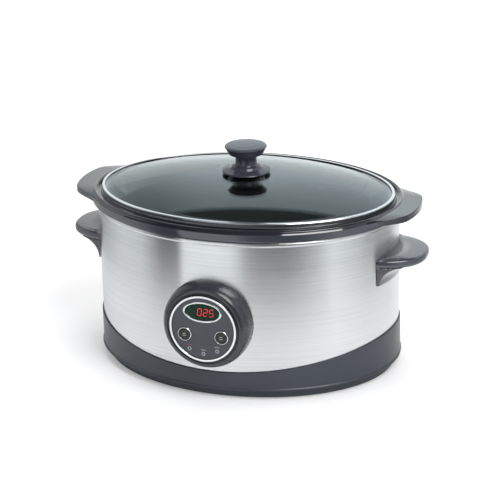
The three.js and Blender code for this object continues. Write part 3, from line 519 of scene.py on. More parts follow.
# Shares are of the foot's radius. A groove's points are (how far from its start, share of its depth).
footValues = {"columns": 48, "bend": 0.5, "dimpleShares": (0.25, 0.30), "dimpleDeep": 0.5, "grooves": 3,
              "grooveStart": 0.38, "grooveStep": 0.15, "grooveDeep": 0.45,
              "grooveShape": [(0, 0), (0.25, 1), (0.6, 1), (0.85, 0)], "edge": [(1.5, 0.0), (0.4, 1.0)]}


# Half sections turned about each foot's middle, with round grooves in the sole.
def buildFeet(v):
    for number in range(1, 5):
        low, high = boxOf(f"rubber_foot_{number}")
        centre, radius, top = (low + high) / 2, (high[0] - low[0]) / 2, high[2]
        inner, outer = v["dimpleShares"]
        outline = [(0, v["dimpleDeep"]), (radius * inner, v["dimpleDeep"]), (radius * outer, 0.0)]
        for k in range(v["grooves"]):
            start = radius * (v["grooveStart"] + v["grooveStep"] * k)
            outline += [(start + along, v["grooveDeep"] * share) for along, share in v["grooveShape"]]
        outline += [*[(radius - inset, rise) for inset, rise in v["edge"]], (radius, top), (0, top)]
        gridPiece(f"rubberFoot_{number}", turnedGrid(rounded(outline, v["bend"], closed=False), centre, v["columns"]),
                  "housing", footRubber, [f"rubber_foot_{number}"], closedRows=False)


buildFeet(footValues)

bushValues = {"columns": 64, "bore": 4.0, "outer": 7.0, "collar": 9.0, "collarGap": 0.3, "collarDeep": 2.4,
              "collarTaper": 0.6, "tail": 4.0, "bend": 0.5}


# Turned about a level axis at the back: x = r cos t, z = r sin t, and the stations' heights run backwards.
def buildLeadBush(v):
    low, high = boxOf("cord_inlet")
    centreX, centreZ = (low[0] + high[0]) / 2, (low[2] + high[2]) / 2
    outside = halfB + skirtValues["proud"]
    inside, near, far = halfB - skirtValues["wall"] - v["tail"], outside + v["collarGap"], outside + v["collarDeep"]
    profile = rounded([
        (v["bore"], inside), (v["outer"], inside), (v["outer"], near), (v["collar"], near),
        (v["collar"] - v["collarTaper"], far), (v["bore"], far)], v["bend"])
    turn = wholeTurn(v["columns"])
    x = centreX + profile[:, 0:1] * np.cos(turn)
    z = centreZ + profile[:, 0:1] * np.sin(turn)
    grid = np.stack([x, middleY + profile[:, 1:2] + 0 * turn, z], axis=2)
    return gridPiece("leadBush", grid, "housing", footRubber, ["cord_inlet"])


buildLeadBush(bushValues)
print("wrap, base and feet built")

wellValues = {"columns": 160, "inset": 13.0, "wall": 0.8, "bottom": 34.0, "corner": 14.0, "cornerSteps": 12,
              "flange": 8.0, "top": shellTop - 1.3, "floorRing": (60, 45), "bend": 0.8}


# The well's half section, from the middle of its underside round the flange to the middle of its floor.
def buildWell(v):
    centre = (v["inset"] + v["corner"], v["bottom"] + v["corner"])
    outer = arc(centre, v["corner"], 270, 180, v["cornerSteps"])
    inner = arc(centre, v["corner"] - v["wall"], 180, 270, v["cornerSteps"])
    rim = [(v["inset"], v["top"] - v["wall"]), (v["inset"] - v["flange"], v["top"] - v["wall"]),
           (v["inset"] - v["flange"], v["top"]), (v["inset"] + v["wall"], v["top"])]
    section = np.vstack([outer, rounded(rim, v["bend"], closed=False), inner])
    rings = np.column_stack([halfA - section[:, 0], halfB - section[:, 0], section[:, 1]])
    under, over = v["bottom"], v["bottom"] + v["wall"]
    rings = np.vstack([(0, 0, under), (*v["floorRing"], under), rings, (*v["floorRing"], over), (0, 0, over)])
    return gridPiece("heatingWell", freeOvalGrid(rings, v["columns"]), "housing", drawnSheet,
                     ["heating_well"], closedRows=False)


buildWell(wellValues)

handleValues = {"columns": 96, "reach": 34.0, "half": 45.0, "power": 2.4, "root": 35.0, "top": 137.0, "thick": 9.0,
                "edge": 3.2, "edgeSteps": 17, "bottom": 109.0, "pad": 2.0, "spread": 18.0, "webSteps": 14,
                "wallGap": 0.3, "crown": 0.7, "crownFrom": 20.0, "shoulder": 5.12, "shoulderRise": 0.1,
                "mostPull": 0.42, "webGap": 0.6, "webShare": 0.3, "samples": 1601}


# Points spread evenly along a line, by the length run so far.
def evenly(line, count):
    run = np.concatenate([[0], np.cumsum(np.linalg.norm(np.diff(line, axis=0), axis=1))])
    wanted = np.linspace(0, run[-1], count)
    return np.stack([np.interp(wanted, run, line[:, k]) for k in range(line.shape[1])], axis=1)


# A tab whose outline is half a squared-off ellipse, |x/a|^p + |y/b|^p = 1, carried round a section: flat top,
# rounded edge, flat underside, then a quarter-round web, which stays behind the edge, down to the foot and back up
# along the wall. Two caps close the ends.
def buildHandle(name, side, v):
    a, b, p = v["reach"] + v["root"], v["half"], v["power"]
    turn = np.linspace(-np.pi / 2, np.pi / 2, v["samples"])[1:-1]
    line = np.stack([halfA - v["root"] + a * np.cos(turn) ** (2 / p),
                     b * np.sign(np.sin(turn)) * np.abs(np.sin(turn)) ** (2 / p)], axis=1)
    wallA, wallB = halfA + v["wallGap"], halfB + v["wallGap"]
    outside = (line[:, 0] / wallA) ** 2 + (line[:, 1] / wallB) ** 2 > 1
    tip = evenly(line[outside], v["columns"])
    end = tip[-1, 1]
    swing = np.linspace(-np.arcsin(end / wallB), np.arcsin(end / wallB), v["columns"])
    wall = np.stack([wallA * np.cos(swing), wallB * np.sin(swing)], axis=1)
    along = np.gradient(tip, axis=0)
    normal = np.stack([along[:, 1], -along[:, 0]], axis=1)
    normal /= np.linalg.norm(normal, axis=1, keepdims=True)
    gap = np.linalg.norm(tip - wall, axis=1, keepdims=True)
    outward = (tip - wall) / (gap + 1e-6)
    top, low, edge = v["top"], v["top"] - v["thick"], v["edge"]
    rows = [np.column_stack([wall, 0 * gap + top])]

    def fromEdge(inset, height):
        pull = np.minimum(inset, v["mostPull"] * gap)          # near the tab's ends the edge keeps off the wall
        rows.append(np.column_stack([tip - normal * pull, 0 * gap + height]))

    lift = v["crown"] * np.clip(gap / v["crownFrom"], 0, 1)
    rows.append(np.column_stack([wall * 0.5 + tip * 0.5, top + lift]))
    fromEdge(v["shoulder"], top + v["shoulderRise"])
    for angle in np.radians(np.linspace(90, -90, v["edgeSteps"])):
        rise = (v["thick"] / 2 - edge) * np.sign(angle) if abs(angle) > 1e-9 else 0.0
        fromEdge(edge * (1 - math.cos(angle)), (top + low) / 2 + rise + edge * math.sin(angle))
    fromEdge(v["shoulder"], low)
    for angle in np.radians(np.linspace(90, 0, v["webSteps"])):
        reach = v["pad"] + v["spread"] * (1 - math.cos(angle))
        reach = np.minimum(reach, np.maximum(gap - v["webGap"], v["webShare"] * gap))
        height = v["bottom"] + (low - v["bottom"]) * math.sin(angle)
        rows.append(np.column_stack([wall + outward * reach, 0 * gap + height]))
    rows.append(np.column_stack([wall, 0 * gap + v["bottom"]]))
    grid = np.stack(rows, axis=0)
    if side < 0:
        grid[:, :, :2] *= -1
    grid[:, :, 1] += middleY
    count = grid.shape[0]
    index = np.arange(count * v["columns"]).reshape(count, v["columns"])
    turned = np.roll(index, -1, axis=0)
    quads = np.stack([index[:, :-1], index[:, 1:], turned[:, 1:], turned[:, :-1]], axis=-1).reshape(-1, 4)
    cut = count // 2
    caps = []
    for column in (0, v["columns"] - 1):
        ring = index[:, column]
        near, far = ring[:cut], ring[::-1][:cut]
        caps.append(np.stack([near[:-1], near[1:], far[1:], far[:-1]], axis=-1))
    return meshPiece(name, grid, np.vstack([quads, *caps]), "housing", handlePlastic,
                     [name.replace("sideHandle", "handle")])


buildHandle("sideHandle_right", 1, handleValues)
buildHandle("sideHandle_left", -1, handleValues)
print("handles built")

trimLow, trimHigh = boxOf("face_trim")
trimRadius = (trimHigh[0] - trimLow[0]) / 2
bossLow, bossHigh = boxOf("control_boss")
# The groove round the bright ring is a list of (distance out from the ring's seat, depth below the face).
bossValues = {"columns": 160, "radius": (bossHigh[0] - bossLow[0]) / 2, "shoulder": trimRadius + 3.5,
              "shoulderSteps": 12, "trim": trimRadius + 0.3, "wall": 2.5, "inner": trimRadius - 4.2, "ledge": 2.3,
              "ledgeThick": 2.0, "drop": 1.0, "straight": 2.0, "hollow": 3.0, "wallGap": 0.3, "bend": 0.8,
              "groove": [(2.5, 1.0), (2.1, 2.2), (1.4, 2.2), (1.0, 0.6), (0.3, 1.0)]}


# A turned shell on the panel's axis, whose back edge follows the oval wall: reach = half width times the root of
# 1 - (x / half length) squared, mixed in by each station's share.
def buildBoss(v):
    start, bulge = halfB + v["straight"], v["radius"] - v["shoulder"]
    quarter = arc((v["shoulder"], start), bulge, 0, 90, v["shoulderSteps"])
    quarter[:, 1] = start + (quarter[:, 1] - start) * (panelFront - v["drop"] - start) / bulge
    seat, inside = panelFront - v["ledge"], v["radius"] - v["wall"]
    outline = [(v["radius"], 0, 1), *[(radius, reach, 0) for radius, reach in quarter],
               *[(v["trim"] + out, panelFront - depth, 0) for out, depth in v["groove"]],
               (v["trim"], seat, 0), (v["inner"], seat, 0), (v["inner"], seat - v["ledgeThick"], 0),
               (v["shoulder"] - v["wall"], seat - v["ledgeThick"], 0), (inside, halfB + v["hollow"], 0),
               (inside, 0, 1)]
    profile = rounded(outline, v["bend"])
    turn = wholeTurn(v["columns"])
    x = profile[:, 0:1] * np.cos(turn)
    z = profile[:, 0:1] * np.sin(turn)
    wall = (halfB + v["wallGap"]) * np.sqrt(1 - (x / (halfA + v["wallGap"])) ** 2)
    reach = profile[:, 1:2] + profile[:, 2:3] * wall
    return gridPiece("controlBoss", np.stack([dialX + x, middleY - reach, dialZ + z], axis=2), "housing",
                     bossPlastic, ["control_boss"])


buildBoss(bossValues)

ringValues = {"columns": 160, "outer": trimRadius, "width": 2.4, "depth": 2.1, "shoulder": 0.4, "proud": 0.8,
              "crest": 0.95, "bend": 0.7}


# A ring with a flat crest, turned about the panel's axis.
def buildFaceTrim(v):
    inner, middle, outer = v["outer"] - v["width"], v["outer"] - v["width"] / 2, v["outer"]
    back, shoulder, top = panelFront - v["depth"], panelFront + v["shoulder"], panelFront + v["proud"]
    profile = rounded([(inner, back), (outer, back), (outer, shoulder), (middle + v["crest"], top),
                       (middle - v["crest"], top), (inner, shoulder)], v["bend"])
    return gridPiece("faceTrim", panelGrid(profile, 0, 0, v["columns"]), "housing", brightTrim,
                     ["face_trim"])


buildFaceTrim(ringValues)

windowLow, windowHigh = boxOf("window_trim")
windowUp = (windowLow[2] + windowHigh[2]) / 2 - dialZ
windowA = (windowHigh[0] - windowLow[0]) / 2
windowB = (windowHigh[2] - windowLow[2]) / 2
windowValues = {"columns": 120, "trim": 2.2, "proud": 0.7, "shoulder": 0.5, "crestShares": (0.35, 0.65), "depth": 2.0,
                "bend": 0.6, "lensInset": 0.1, "lensDrop": 0.15, "lensSteps": 12, "dome": 0.45}


# The ring is as wide all round: x = r cos t, z = (r - a + b) sin t. The lens inside it is a shallow dome on an
# ellipse: reach = face + dome * (1 - share^2).
def buildWindow(v):
    back, crest, inner = panelFront - v["depth"], panelFront + v["proud"], windowA - v["trim"]
    ring = rounded([(inner, back), (windowA, back), (windowA, crest - v["shoulder"]),
                    *[(windowA - v["trim"] * share, crest) for share in v["crestShares"]],
                    (inner, crest - v["shoulder"])], v["bend"])
    turn = wholeTurn(v["columns"])

    def onOval(wide, high, reach):
        return np.stack([dialX + wide * np.cos(turn), middleY - reach + 0 * turn,
                         dialZ + windowUp + high * np.sin(turn)], axis=2)

    grid = onOval(ring[:, 0:1], ring[:, 0:1] - windowA + windowB, ring[:, 1:2])
    gridPiece("windowTrim", grid, "housing", brightTrim, ["window_trim"])
    edge = inner - v["lensInset"]
    share = np.linspace(0, 1, v["lensSteps"])
    front = np.column_stack([edge * share, panelFront + v["dome"] * (1 - share ** 2) - v["lensDrop"]])
    lens = np.vstack([front, [(edge, back), (0, back)]])
    ratio = (windowB - v["trim"] - v["lensInset"]) / edge
    grid = onOval(lens[:, 0:1], lens[:, 0:1] * ratio, lens[:, 1:2])
    gridPiece("displayLens", grid, "housing", windowFilter, ["display_window"], closedRows=False)
    return edge, ratio


lensEdge, lensRatio = buildWindow(windowValues)

numeralValues = {"digits": "025", "height": 7.6, "width": 4.1, "pitch": 6.4, "thick": 0.85, "slant": 0.13,
                 "shift": 3.6, "gap": 0.20, "litLift": 0.07, "darkLift": 0.035, "sunk": 0.3}


# Quads of flat prisms. Each has its corners in front, then as many behind, and the lids close both ends.
def prismQuads(count, corners, lids):
    base = np.arange(count)[:, None] * corners * 2
    loop = np.arange(corners)
    ahead = (loop + 1) % corners
    sides = np.stack([base + loop, base + ahead, base + corners + ahead, base + corners + loop], axis=-1)
    return np.vstack([sides.reshape(-1, 4), *(base + np.array(lid) for lid in lids)])


# Each bar is a long hexagon: its ends at plus and minus half its length, its shoulders half a thickness in from
# them. The bars of a digit are turned and moved to their places, then slanted, and laid on the domed lens.
def buildNumerals(v):
    wide, high, thick = v["width"], v["height"] / 2, v["thick"]
    places = {"a": (0, high, 0), "b": (wide / 2, high / 2, 1), "c": (wide / 2, -high / 2, 1), "d": (0, -high, 0),
              "e": (-wide / 2, -high / 2, 1), "f": (-wide / 2, high / 2, 1), "g": (0, 0, 0)}
    shown = {"0": "abcdef", "1": "bc", "2": "abdeg", "3": "abcdg", "4": "bcfg", "5": "acdfg", "6": "acdefg",
             "7": "abc", "8": "abcdefg", "9": "abcdfg"}
    bars = {"lit": [], "dark": []}
    for column, digit in enumerate(v["digits"]):
        shift = (column - (len(v["digits"]) - 1) / 2) * v["pitch"]
        for bar, (x, y, upright) in places.items():
            bars["lit" if bar in shown[digit] else "dark"].append((shift, x, y, upright))
    for kind, finish, lift in (("lit", litBar, v["litLift"]), ("dark", darkBar, v["darkLift"])):
        rows = np.array(bars[kind], float)
        length = np.where(rows[:, 3] > 0, high, wide) - v["gap"] * 2
        end, shoulder = length / 2, length / 2 - thick / 2
        u = np.stack([-end, -shoulder, shoulder, end, shoulder, -shoulder], axis=1)
        w = np.stack([0 * end, 0 * end + 1, 0 * end + 1, 0 * end, 0 * end - 1, 0 * end - 1], axis=1) * thick / 2
        upright = rows[:, 3:4] > 0
        x = np.where(upright, w, u) + rows[:, 1:2]
        y = np.where(upright, u, w) + rows[:, 2:3]
        x = x + y * v["slant"] + rows[:, 0:1] + v["shift"]
        run = (x / lensEdge) ** 2 + (y / (lensEdge * lensRatio)) ** 2
        skin = panelFront - windowValues["lensDrop"] + windowValues["dome"] * (1 - run)
        layers = [np.stack([dialX + x, middleY - (skin + push), dialZ + windowUp + y], axis=2)
                  for push in (lift, -v["sunk"])]
        points = np.stack(layers, axis=1).reshape(-1, 3)
        quads = prismQuads(len(rows), 6, ([0, 3, 2, 1], [0, 5, 4, 3], [6, 7, 8, 9], [6, 9, 10, 11]))
        meshPiece(f"numerals_{kind}", points, quads, "housing", finish, smooth=False)


buildNumerals(numeralValues)

capLow, capHigh = boxOf("button_right")
buttonValues = {"columns": 72, "radius": (capHigh[0] - capLow[0]) / 2, "stem": 2.0, "capDepth": 3.0, "proud": 1.4,
                "edge": 0.9, "edgeDrop": 0.5, "dish": 0.35, "dishShare": 0.6, "bend": 0.45, "trimGap": 0.25,
                "trim": 1.25, "trimDepth": 2.0, "trimShoulder": 0.2, "trimProud": 0.7, "trimEase": 0.45}


# Ring and cap are turned about the button's axis. The cap's front is dished and its stem reaches the switch.
def buildButton(side, v):
    low, high = boxOf(f"button_{side}")
    right, up = (low[0] + high[0]) / 2 - dialX, (low[2] + high[2]) / 2 - dialZ
    stem = middleY - high[1]
    bore = v["radius"] + v["trimGap"]
    outer = bore + v["trim"]
    ringBack, shoulder = panelFront - v["trimDepth"], panelFront + v["trimShoulder"]
    crest, ease = panelFront + v["trimProud"], v["trimEase"]
    ring = rounded([(bore, ringBack), (outer, ringBack), (outer, shoulder), (outer - ease, crest),
                    (bore + ease, crest), (bore, shoulder)], v["bend"])
    gridPiece(f"buttonTrim_{side}", panelGrid(ring, right, up, v["columns"]), "housing", brightTrim,
              [f"button_trim_{side}"])
    front, capBack, radius = panelFront + v["proud"], panelFront - v["capDepth"], v["radius"]
    cap = rounded([(0, stem), (v["stem"], stem), (v["stem"], capBack), (radius, capBack),
                   (radius, front - v["edgeDrop"]), (radius - v["edge"], front),
                   (radius * v["dishShare"], front - v["dish"] * v["dishShare"]), (0, front - v["dish"])],
                  v["bend"], closed=False)
    gridPiece(f"pushButton_{side}", panelGrid(cap, right, up, v["columns"]), f"button_{side}", buttonPlastic,
              [f"button_{side}"], closedRows=False)
    return right, up


buttonPlaces = {side: buildButton(side, buttonValues) for side in ("right", "left")}

# A button's marks are (share of the length, height above its middle), a lamp's label is (place, width) from left.
printValues = {"thick": 0.08, "sunk": 0.4, "markLong": 4.6, "markHigh": 0.75, "marks": [(0.8, 1.1), (1.0, -1.1)],
               "columns": 40, "ringOuter": 2.15, "ringInner": 1.35, "ringProud": 0.25, "ringDepth": 0.5, "bend": 0.15,
               "lens": 1.3, "lensDome": 0.3, "labelHigh": 0.9, "labelUp": 4.4,
               "label": [(-1.7, 1.6), (0.2, 1.4), (2.0, 1.3)]}


# Short printed bars on the panel: a row is (right, up, width, height, reach of the surface below).
def dashes(name, rows, body, finish, v):
    rows = np.array(rows, float)
    cornerX = np.array([-0.5, 0.5, 0.5, -0.5])
    cornerZ = np.array([-0.5, -0.5, 0.5, 0.5])
    x = dialX + rows[:, 0:1] + rows[:, 2:3] * cornerX
    z = dialZ + rows[:, 1:2] + rows[:, 3:4] * cornerZ
    layers = [np.stack([x, middleY - (rows[:, 4:5] + push) + 0 * x, z], axis=2) for push in (v["thick"], -v["sunk"])]
    points = np.stack(layers, axis=1).reshape(-1, 3)
    quads = prismQuads(len(rows), 4, ([0, 1, 2, 3], [4, 7, 6, 5]))
    meshPiece(name, points, quads, body, finish, smooth=False)


# Dashes on the button caps, and for each lamp a ring, a domed lens, reach = face + dome * (1 - share^2), and dashes.
def buildPrint(v):
    front = panelFront + buttonValues["proud"] - buttonValues["dish"]
    for side, (right, up) in buttonPlaces.items():
        marks = [(right, up + rise, v["markLong"] * share, v["markHigh"], front) for share, rise in v["marks"]]
        dashes(f"buttonMark_{side}", marks, f"button_{side}", printInk, v)
    share = np.linspace(0, 1, 6)
    ringLow, ringTop = panelFront - v["ringDepth"], panelFront + v["ringProud"]
    ring = rounded([(v["ringInner"], ringLow), (v["ringOuter"], ringLow), (v["ringOuter"], ringTop),
                    (v["ringInner"], ringTop)], v["bend"])
    dome = np.column_stack([v["lens"] * share, panelFront + v["lensDome"] * (1 - share ** 2)])
    for number in range(1, 4):
        low, high = boxOf(f"indicator_light_{number}")
        right, up = (low[0] + high[0]) / 2 - dialX, (low[2] + high[2]) / 2 - dialZ
        gridPiece(f"lampRing_{number}", panelGrid(ring, right, up, v["columns"]), "housing", printInk)
        back = middleY - high[1]
        pipe = np.vstack([dome, [(v["lens"], back), (0, back)]])
        gridPiece(f"indicatorLamp_{number}", panelGrid(pipe, right, up, v["columns"]), "housing", lampLens,
                  [f"indicator_light_{number}"], closedRows=False)
        label = [(right + x, up + v["labelUp"], wide, v["labelHigh"], panelFront) for x, wide in v["label"]]
        dashes(f"lampLabel_{number}", label, "housing", redInk if number == 1 else printInk, v)


buildPrint(printValues)
print("control panel built")

crockLow, crockHigh = boxOf("crock")
# Insets are from the rim's outline and depths from its top. The bead is (inset, depth, lift at the lugs), the groove
# inside it (inset along the length, inset along the width, depth), and the shelf inside that (inset, depth).
crockValues = {"columns": 256, "rimA": halfA + 6.5, "rimB": halfB + 1.5, "under": shellTop + 0.3,
               "top": crockHigh[2], "bottom": crockLow[2], "wall": 17.0, "draft": 4.0, "thick": 7.0, "floor": 9.0,
               "corner": 18.0, "cornerSteps": 12, "floorRing": (50, 38), "lugReach": 18.62, "lugRise": 2.97,
               "lugFull": 30.0, "lugEnd": 64.0, "lugThick": 7.0, "lugDrop": 1.2, "lugTop": 4.2, "bend": 1.5,
               "footRing": 6.0, "footHigh": 2.0, "footBend": 0.8, "footEase": 1.6, "wallStart": 20.0, "rimEase": 2.2,
               "footFlat": 2.0, "rimGap": 0.05, "rimInset": 0.2,
               "bead": [(1.0, 2.8, 1.6), (1.8, 1.2, 0), (2.9, 0.25, 0), (3.8, 0, 0), (4.7, 0.4, 0), (5.4, 1.5, 0),
                        (5.8, 3.2, 0)],
               "groove": [(6.6, 7.4, 5.4), (9.2, 12.0, 5.4), (10.0, 13.9, 3.0)], "shelf": [(17.4, 3.0), (19.5, 5.0)],
               "bowl": [(0.0, 12.0), (0.5, 40.0)], "glazeOut": 1.5, "glazeUp": 1.0, "glazeTop": 8.0}


# 1 across the middle of an end and 0 beyond the lug, joined by the smooth step 3t^2 - 2t^3.
def lugBump(y, v):
    t = np.clip((v["lugEnd"] - np.abs(y)) / (v["lugEnd"] - v["lugFull"]), 0, 1)
    return t * t * (3 - 2 * t)


# Stations are (half length, half width, height, reach, lift): reach moves a station out along the length by the
# lug's share, and lift raises it where the lug is. The bowl's faces take the matt inner glaze.
def buildCrock(v):
    a, b, top, under, bottom = v["rimA"], v["rimB"], v["top"], v["under"], v["bottom"]
    wall, floor, plate = v["wall"], bottom + v["floor"], top - v["lugDrop"]

    def level(inset, height, reach=0.0, lift=0.0):
        return (a - inset, b - inset, height, reach, lift)

    def inside(inset, height):
        return (halfA - inset, halfB - inset, height, 0.0, 0.0)

    corner, inset = v["corner"], wall + v["draft"]
    core, bowl = inset + v["thick"], wall + v["thick"]
    outer = arc((inset + corner, bottom + corner), corner, 270, 180, v["cornerSteps"])
    inner = arc((core + corner, floor + corner), corner, 180, 270, v["cornerSteps"])
    rim = rounded([
        inside(wall, under - v["wallStart"]), inside(wall, under - v["rimGap"]), level(v["rimInset"], under),
        level(0, under + v["rimEase"]), level(0, plate - v["lugThick"]),
        level(0, plate - v["lugThick"], v["lugReach"]), level(0, top - v["lugTop"], v["lugReach"], v["lugRise"]),
        *[level(place, top - depth, 0, lift) for place, depth, lift in v["bead"]],
        *[(a - long, b - wide, top - depth, 0, 0) for long, wide, depth in v["groove"]],
        *[level(place, top - depth) for place, depth in v["shelf"]],
        *[inside(bowl + place, under - depth) for place, depth in v["bowl"]]], v["bend"], closed=False)
    footIn, footTop = inset + corner + v["footRing"], bottom + v["footHigh"]
    stations = np.vstack([
        [(0, 0, footTop, 0, 0), inside(footIn + v["footFlat"], footTop)],
        rounded([inside(footIn + v["footEase"], footTop), inside(footIn, bottom),
                 inside(footIn - v["footFlat"], bottom)], v["footBend"], closed=False),
        [inside(x, z) for x, z in outer], rim, [inside(x, z) for x, z in inner],
        [(*v["floorRing"], floor, 0, 0), (0, 0, floor, 0, 0)]])
    turn = wholeTurn(v["columns"])
    y = stations[:, 1:2] * np.sin(turn)
    share = lugBump(b * np.sin(turn), v)
    x = stations[:, 0:1] * np.cos(turn) + stations[:, 3:4] * np.sign(np.cos(turn)) * share
    z = stations[:, 2:3] + stations[:, 4:5] * share
    piece = gridPiece("stonewareCrock", np.stack([x, y + middleY, z], axis=2), "crock", blackGlaze,
                      ["crock"], closedRows=False)
    piece.data.materials.append(innerGlaze)
    spots = np.zeros(len(piece.data.polygons) * 3)
    piece.data.polygons.foreach_get("center", spots)
    spots = spots.reshape(-1, 3) * 1000
    bowlA, bowlB = halfA - bowl + v["glazeOut"], halfB - bowl + v["glazeOut"]
    within = (spots[:, 0] / bowlA) ** 2 + ((spots[:, 1] - middleY) / bowlB) ** 2 < 1
    matt = within & (spots[:, 2] > floor - v["glazeUp"]) & (spots[:, 2] < under - v["glazeTop"])
    piece.data.polygons.foreach_set("material_index", matt.astype(np.int32))
    return piece


buildCrock(crockValues)
print("crock built")

bandLow, bandHigh = boxOf("lid_band")
lidA, lidB = bandHigh[0], (bandHigh[1] - bandLow[1]) / 2
glassLow, glassHigh = boxOf("lid_glass")
lidValues = {"columns": 240, "flange": 3.2, "sheet": 0.7, "ease": 0.5, "corner": 0.8, "bend": 0.5, "edge": 1.0,
             "rim": 4.0, "hole": 4.0, "glass": 4.0, "rise": 17.0, "power": 2.3, "rings": 26}


# A C-shaped section that is open inwards, carried round the lid's oval.
def buildLidBand(v):
    low, high, flange, sheet = bandLow[2], bandHigh[2], v["flange"], v["sheet"]
    outline = [(flange, low), (v["ease"], low), (0, low + v["corner"]), (0, high - v["corner"]), (v["ease"], high),
               (flange, high), (flange, high - sheet), (sheet, high - sheet), (sheet, low + sheet),
               (flange, low + sheet)]
    profile = rounded([(lidA - inset, lidB - inset, z) for inset, z in outline], v["bend"])
    return gridPiece("lidBand", freeOvalGrid(profile, v["columns"]), "lid", brightTrim, ["lid_band"])


# Top surface: height = apex - rise * share^power, share running from the hole to the rim; the underside is the
# same curve a glass thickness lower.
def buildLidGlass(v):
    share = np.linspace(0, 1, v["rings"])
    edgeA, edgeB = lidA - v["edge"], lidB - v["edge"]
    wide = v["hole"] + (edgeA - v["rim"] - v["hole"]) * share
    deep = v["hole"] + (edgeB - v["rim"] - v["hole"]) * share
    height = glassHigh[2] - v["rise"] * share ** v["power"]
    over = np.column_stack([wide, deep, height])
    under = over[::-1] - [0, 0, v["glass"]]
    rim = [(edgeA, edgeB, glassLow[2] + lift) for lift in (v["glass"], 0)]
    profile = np.vstack([over, rim, under])
    return gridPiece("domedGlass", freeOvalGrid(profile, v["columns"]), "lid", clearGlass, ["lid_glass"])


buildLidBand(lidValues)
buildLidGlass(lidValues)

knobLow, knobHigh = boxOf("knob")
# The lower part is (radius, height above the glass), the upper parts are (radius, depth below the top).
knobValues = {"columns": 96, "bore": 2.8, "socket": 15.0, "bend": 0.7, "ribs": 3, "ribStep": (0.4, 0.2),
              "lower": [(25.0, 0), (26.0, 0.8), (25.4, 2), (20.0, 3.2), (17.0, 4), (16.2, 5.0), (15.2, 6.6),
                        (12.9, 7.4), (11.7, 8.8), (11.3, 13), (11.5, 17.0)],
              "throat": (12.7, 11.6), "cone": [(18.1, 10.4), (21.1, 4.6)],
              "cap": [(22.5, 2.9), (22.3, 1.9), (21.1, 1.25), (20.1, 1.35), (19.3, 0.95), (11.25, 0.25), (0, 0)]}


# Turned half section: flange, collar, waisted neck, a ribbed cone under the cap, a shallow domed top, and the
# socket for the screw.
def buildKnob(v):
    low, top = knobLow[2], knobHigh[2]
    outline = [(v["bore"], low), *[(radius, low + rise) for radius, rise in v["lower"]]]
    coneLow, coneHigh = (np.array([radius, top - depth]) for radius, depth in v["cone"])
    stepOut, stepUp = v["ribStep"]
    outline.append((v["throat"][0], top - v["throat"][1]))
    for k in range(v["ribs"] + 1):
        right, up = coneLow + (coneHigh - coneLow) * k / v["ribs"]
        outline += [(right, up), (right + stepOut, up + stepUp)]
    outline += [*[(radius, top - depth) for radius, depth in v["cap"]], (0, low + v["socket"]),
                (v["bore"], low + v["socket"])]
    profile = rounded(outline, v["bend"])
    profile[:, 0] = np.maximum(profile[:, 0], 0.0)
    return gridPiece("lidKnob", turnedGrid(profile, (0, middleY), v["columns"]), "lid", knobPlastic,
                     ["knob"])


buildKnob(knobValues)

clampValues = {"columns": 72, "bore": 2.8, "edge": 1.0, "taper": 4.0, "bend": 0.5, "sealBore": 4.0, "sealBend": 0.4}


# The clamp plate under the glass and the seal above it, both turned about the lid's middle.
def buildUnderPlate(v):
    low, high = boxOf("knob_under_plate")
    radius = (high[0] - low[0]) / 2
    profile = rounded([(v["bore"], low[2]), (radius - v["edge"], low[2]), (radius, low[2] + v["edge"]),
                       (radius - v["taper"], high[2]), (v["bore"], high[2])], v["bend"])
    gridPiece("knobClamp", turnedGrid(profile, (0, middleY), v["columns"]), "lid", bossPlastic,
              ["knob_under_plate"])
    low, high = boxOf("knob_seal")
    radius, bore = (high[0] - low[0]) / 2, v["sealBore"]
    profile = rounded([(bore, low[2]), (radius, low[2]), (radius, high[2]), (bore, high[2])], v["sealBend"])
    gridPiece("knobSeal", turnedGrid(profile, (0, middleY), v["columns"]), "lid", siliconeFinish,
              ["knob_seal"])


buildUnderPlate(clampValues)
print("lid built")

# The panel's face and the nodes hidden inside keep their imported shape. Screws and posts are steel.
nodeFinishes = {
    "base_plate": drawnSheet, "band_clamp": drawnSheet, "heating_band": micaFinish, "control_face": facePlastic,
    "power_board": boardFinish, "control_board": boardFinish, "relay": componentPlastic,
    "transformer": componentPlastic, "thermal_sensor": componentPlastic, "thermal_fuse": componentPlastic,
    "display_module": componentPlastic, "switch_right": componentPlastic, "switch_left": componentPlastic}
for name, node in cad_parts.items():
    finish = nodeFinishes.get(name)
    if finish is None:
        finish = screwSteel if "screw" in name or "post" in name else slatePlastic
    node.data.materials.clear()
    node.data.materials.append(finish)

# Sizes here are in metres. Each edge is two values of the direction's x, y or z, between which one level turns into
# the next.
stageValues = {"floorSize": 12.0, "floorColour": (0.80, 0.80, 0.81), "floorRough": 0.9, "nearGlow": 0.24,
               "farGlow": 0.52, "glowStart": 0.45, "glowEnd": 1.8, "mirrorGlow": 0.03, "skyLevel": 0.62,
               "roomLevel": 0.16, "roomEdge": (-0.25, 0.30), "backLevel": 1.05, "coolShade": (0.85, 0.95, 1.0),
               "leftLevel": 0.6, "leftEdge": (-0.50, -0.34), "ceilingLevel": 0.16, "ceilingEdge": (0.732, 0.752)}


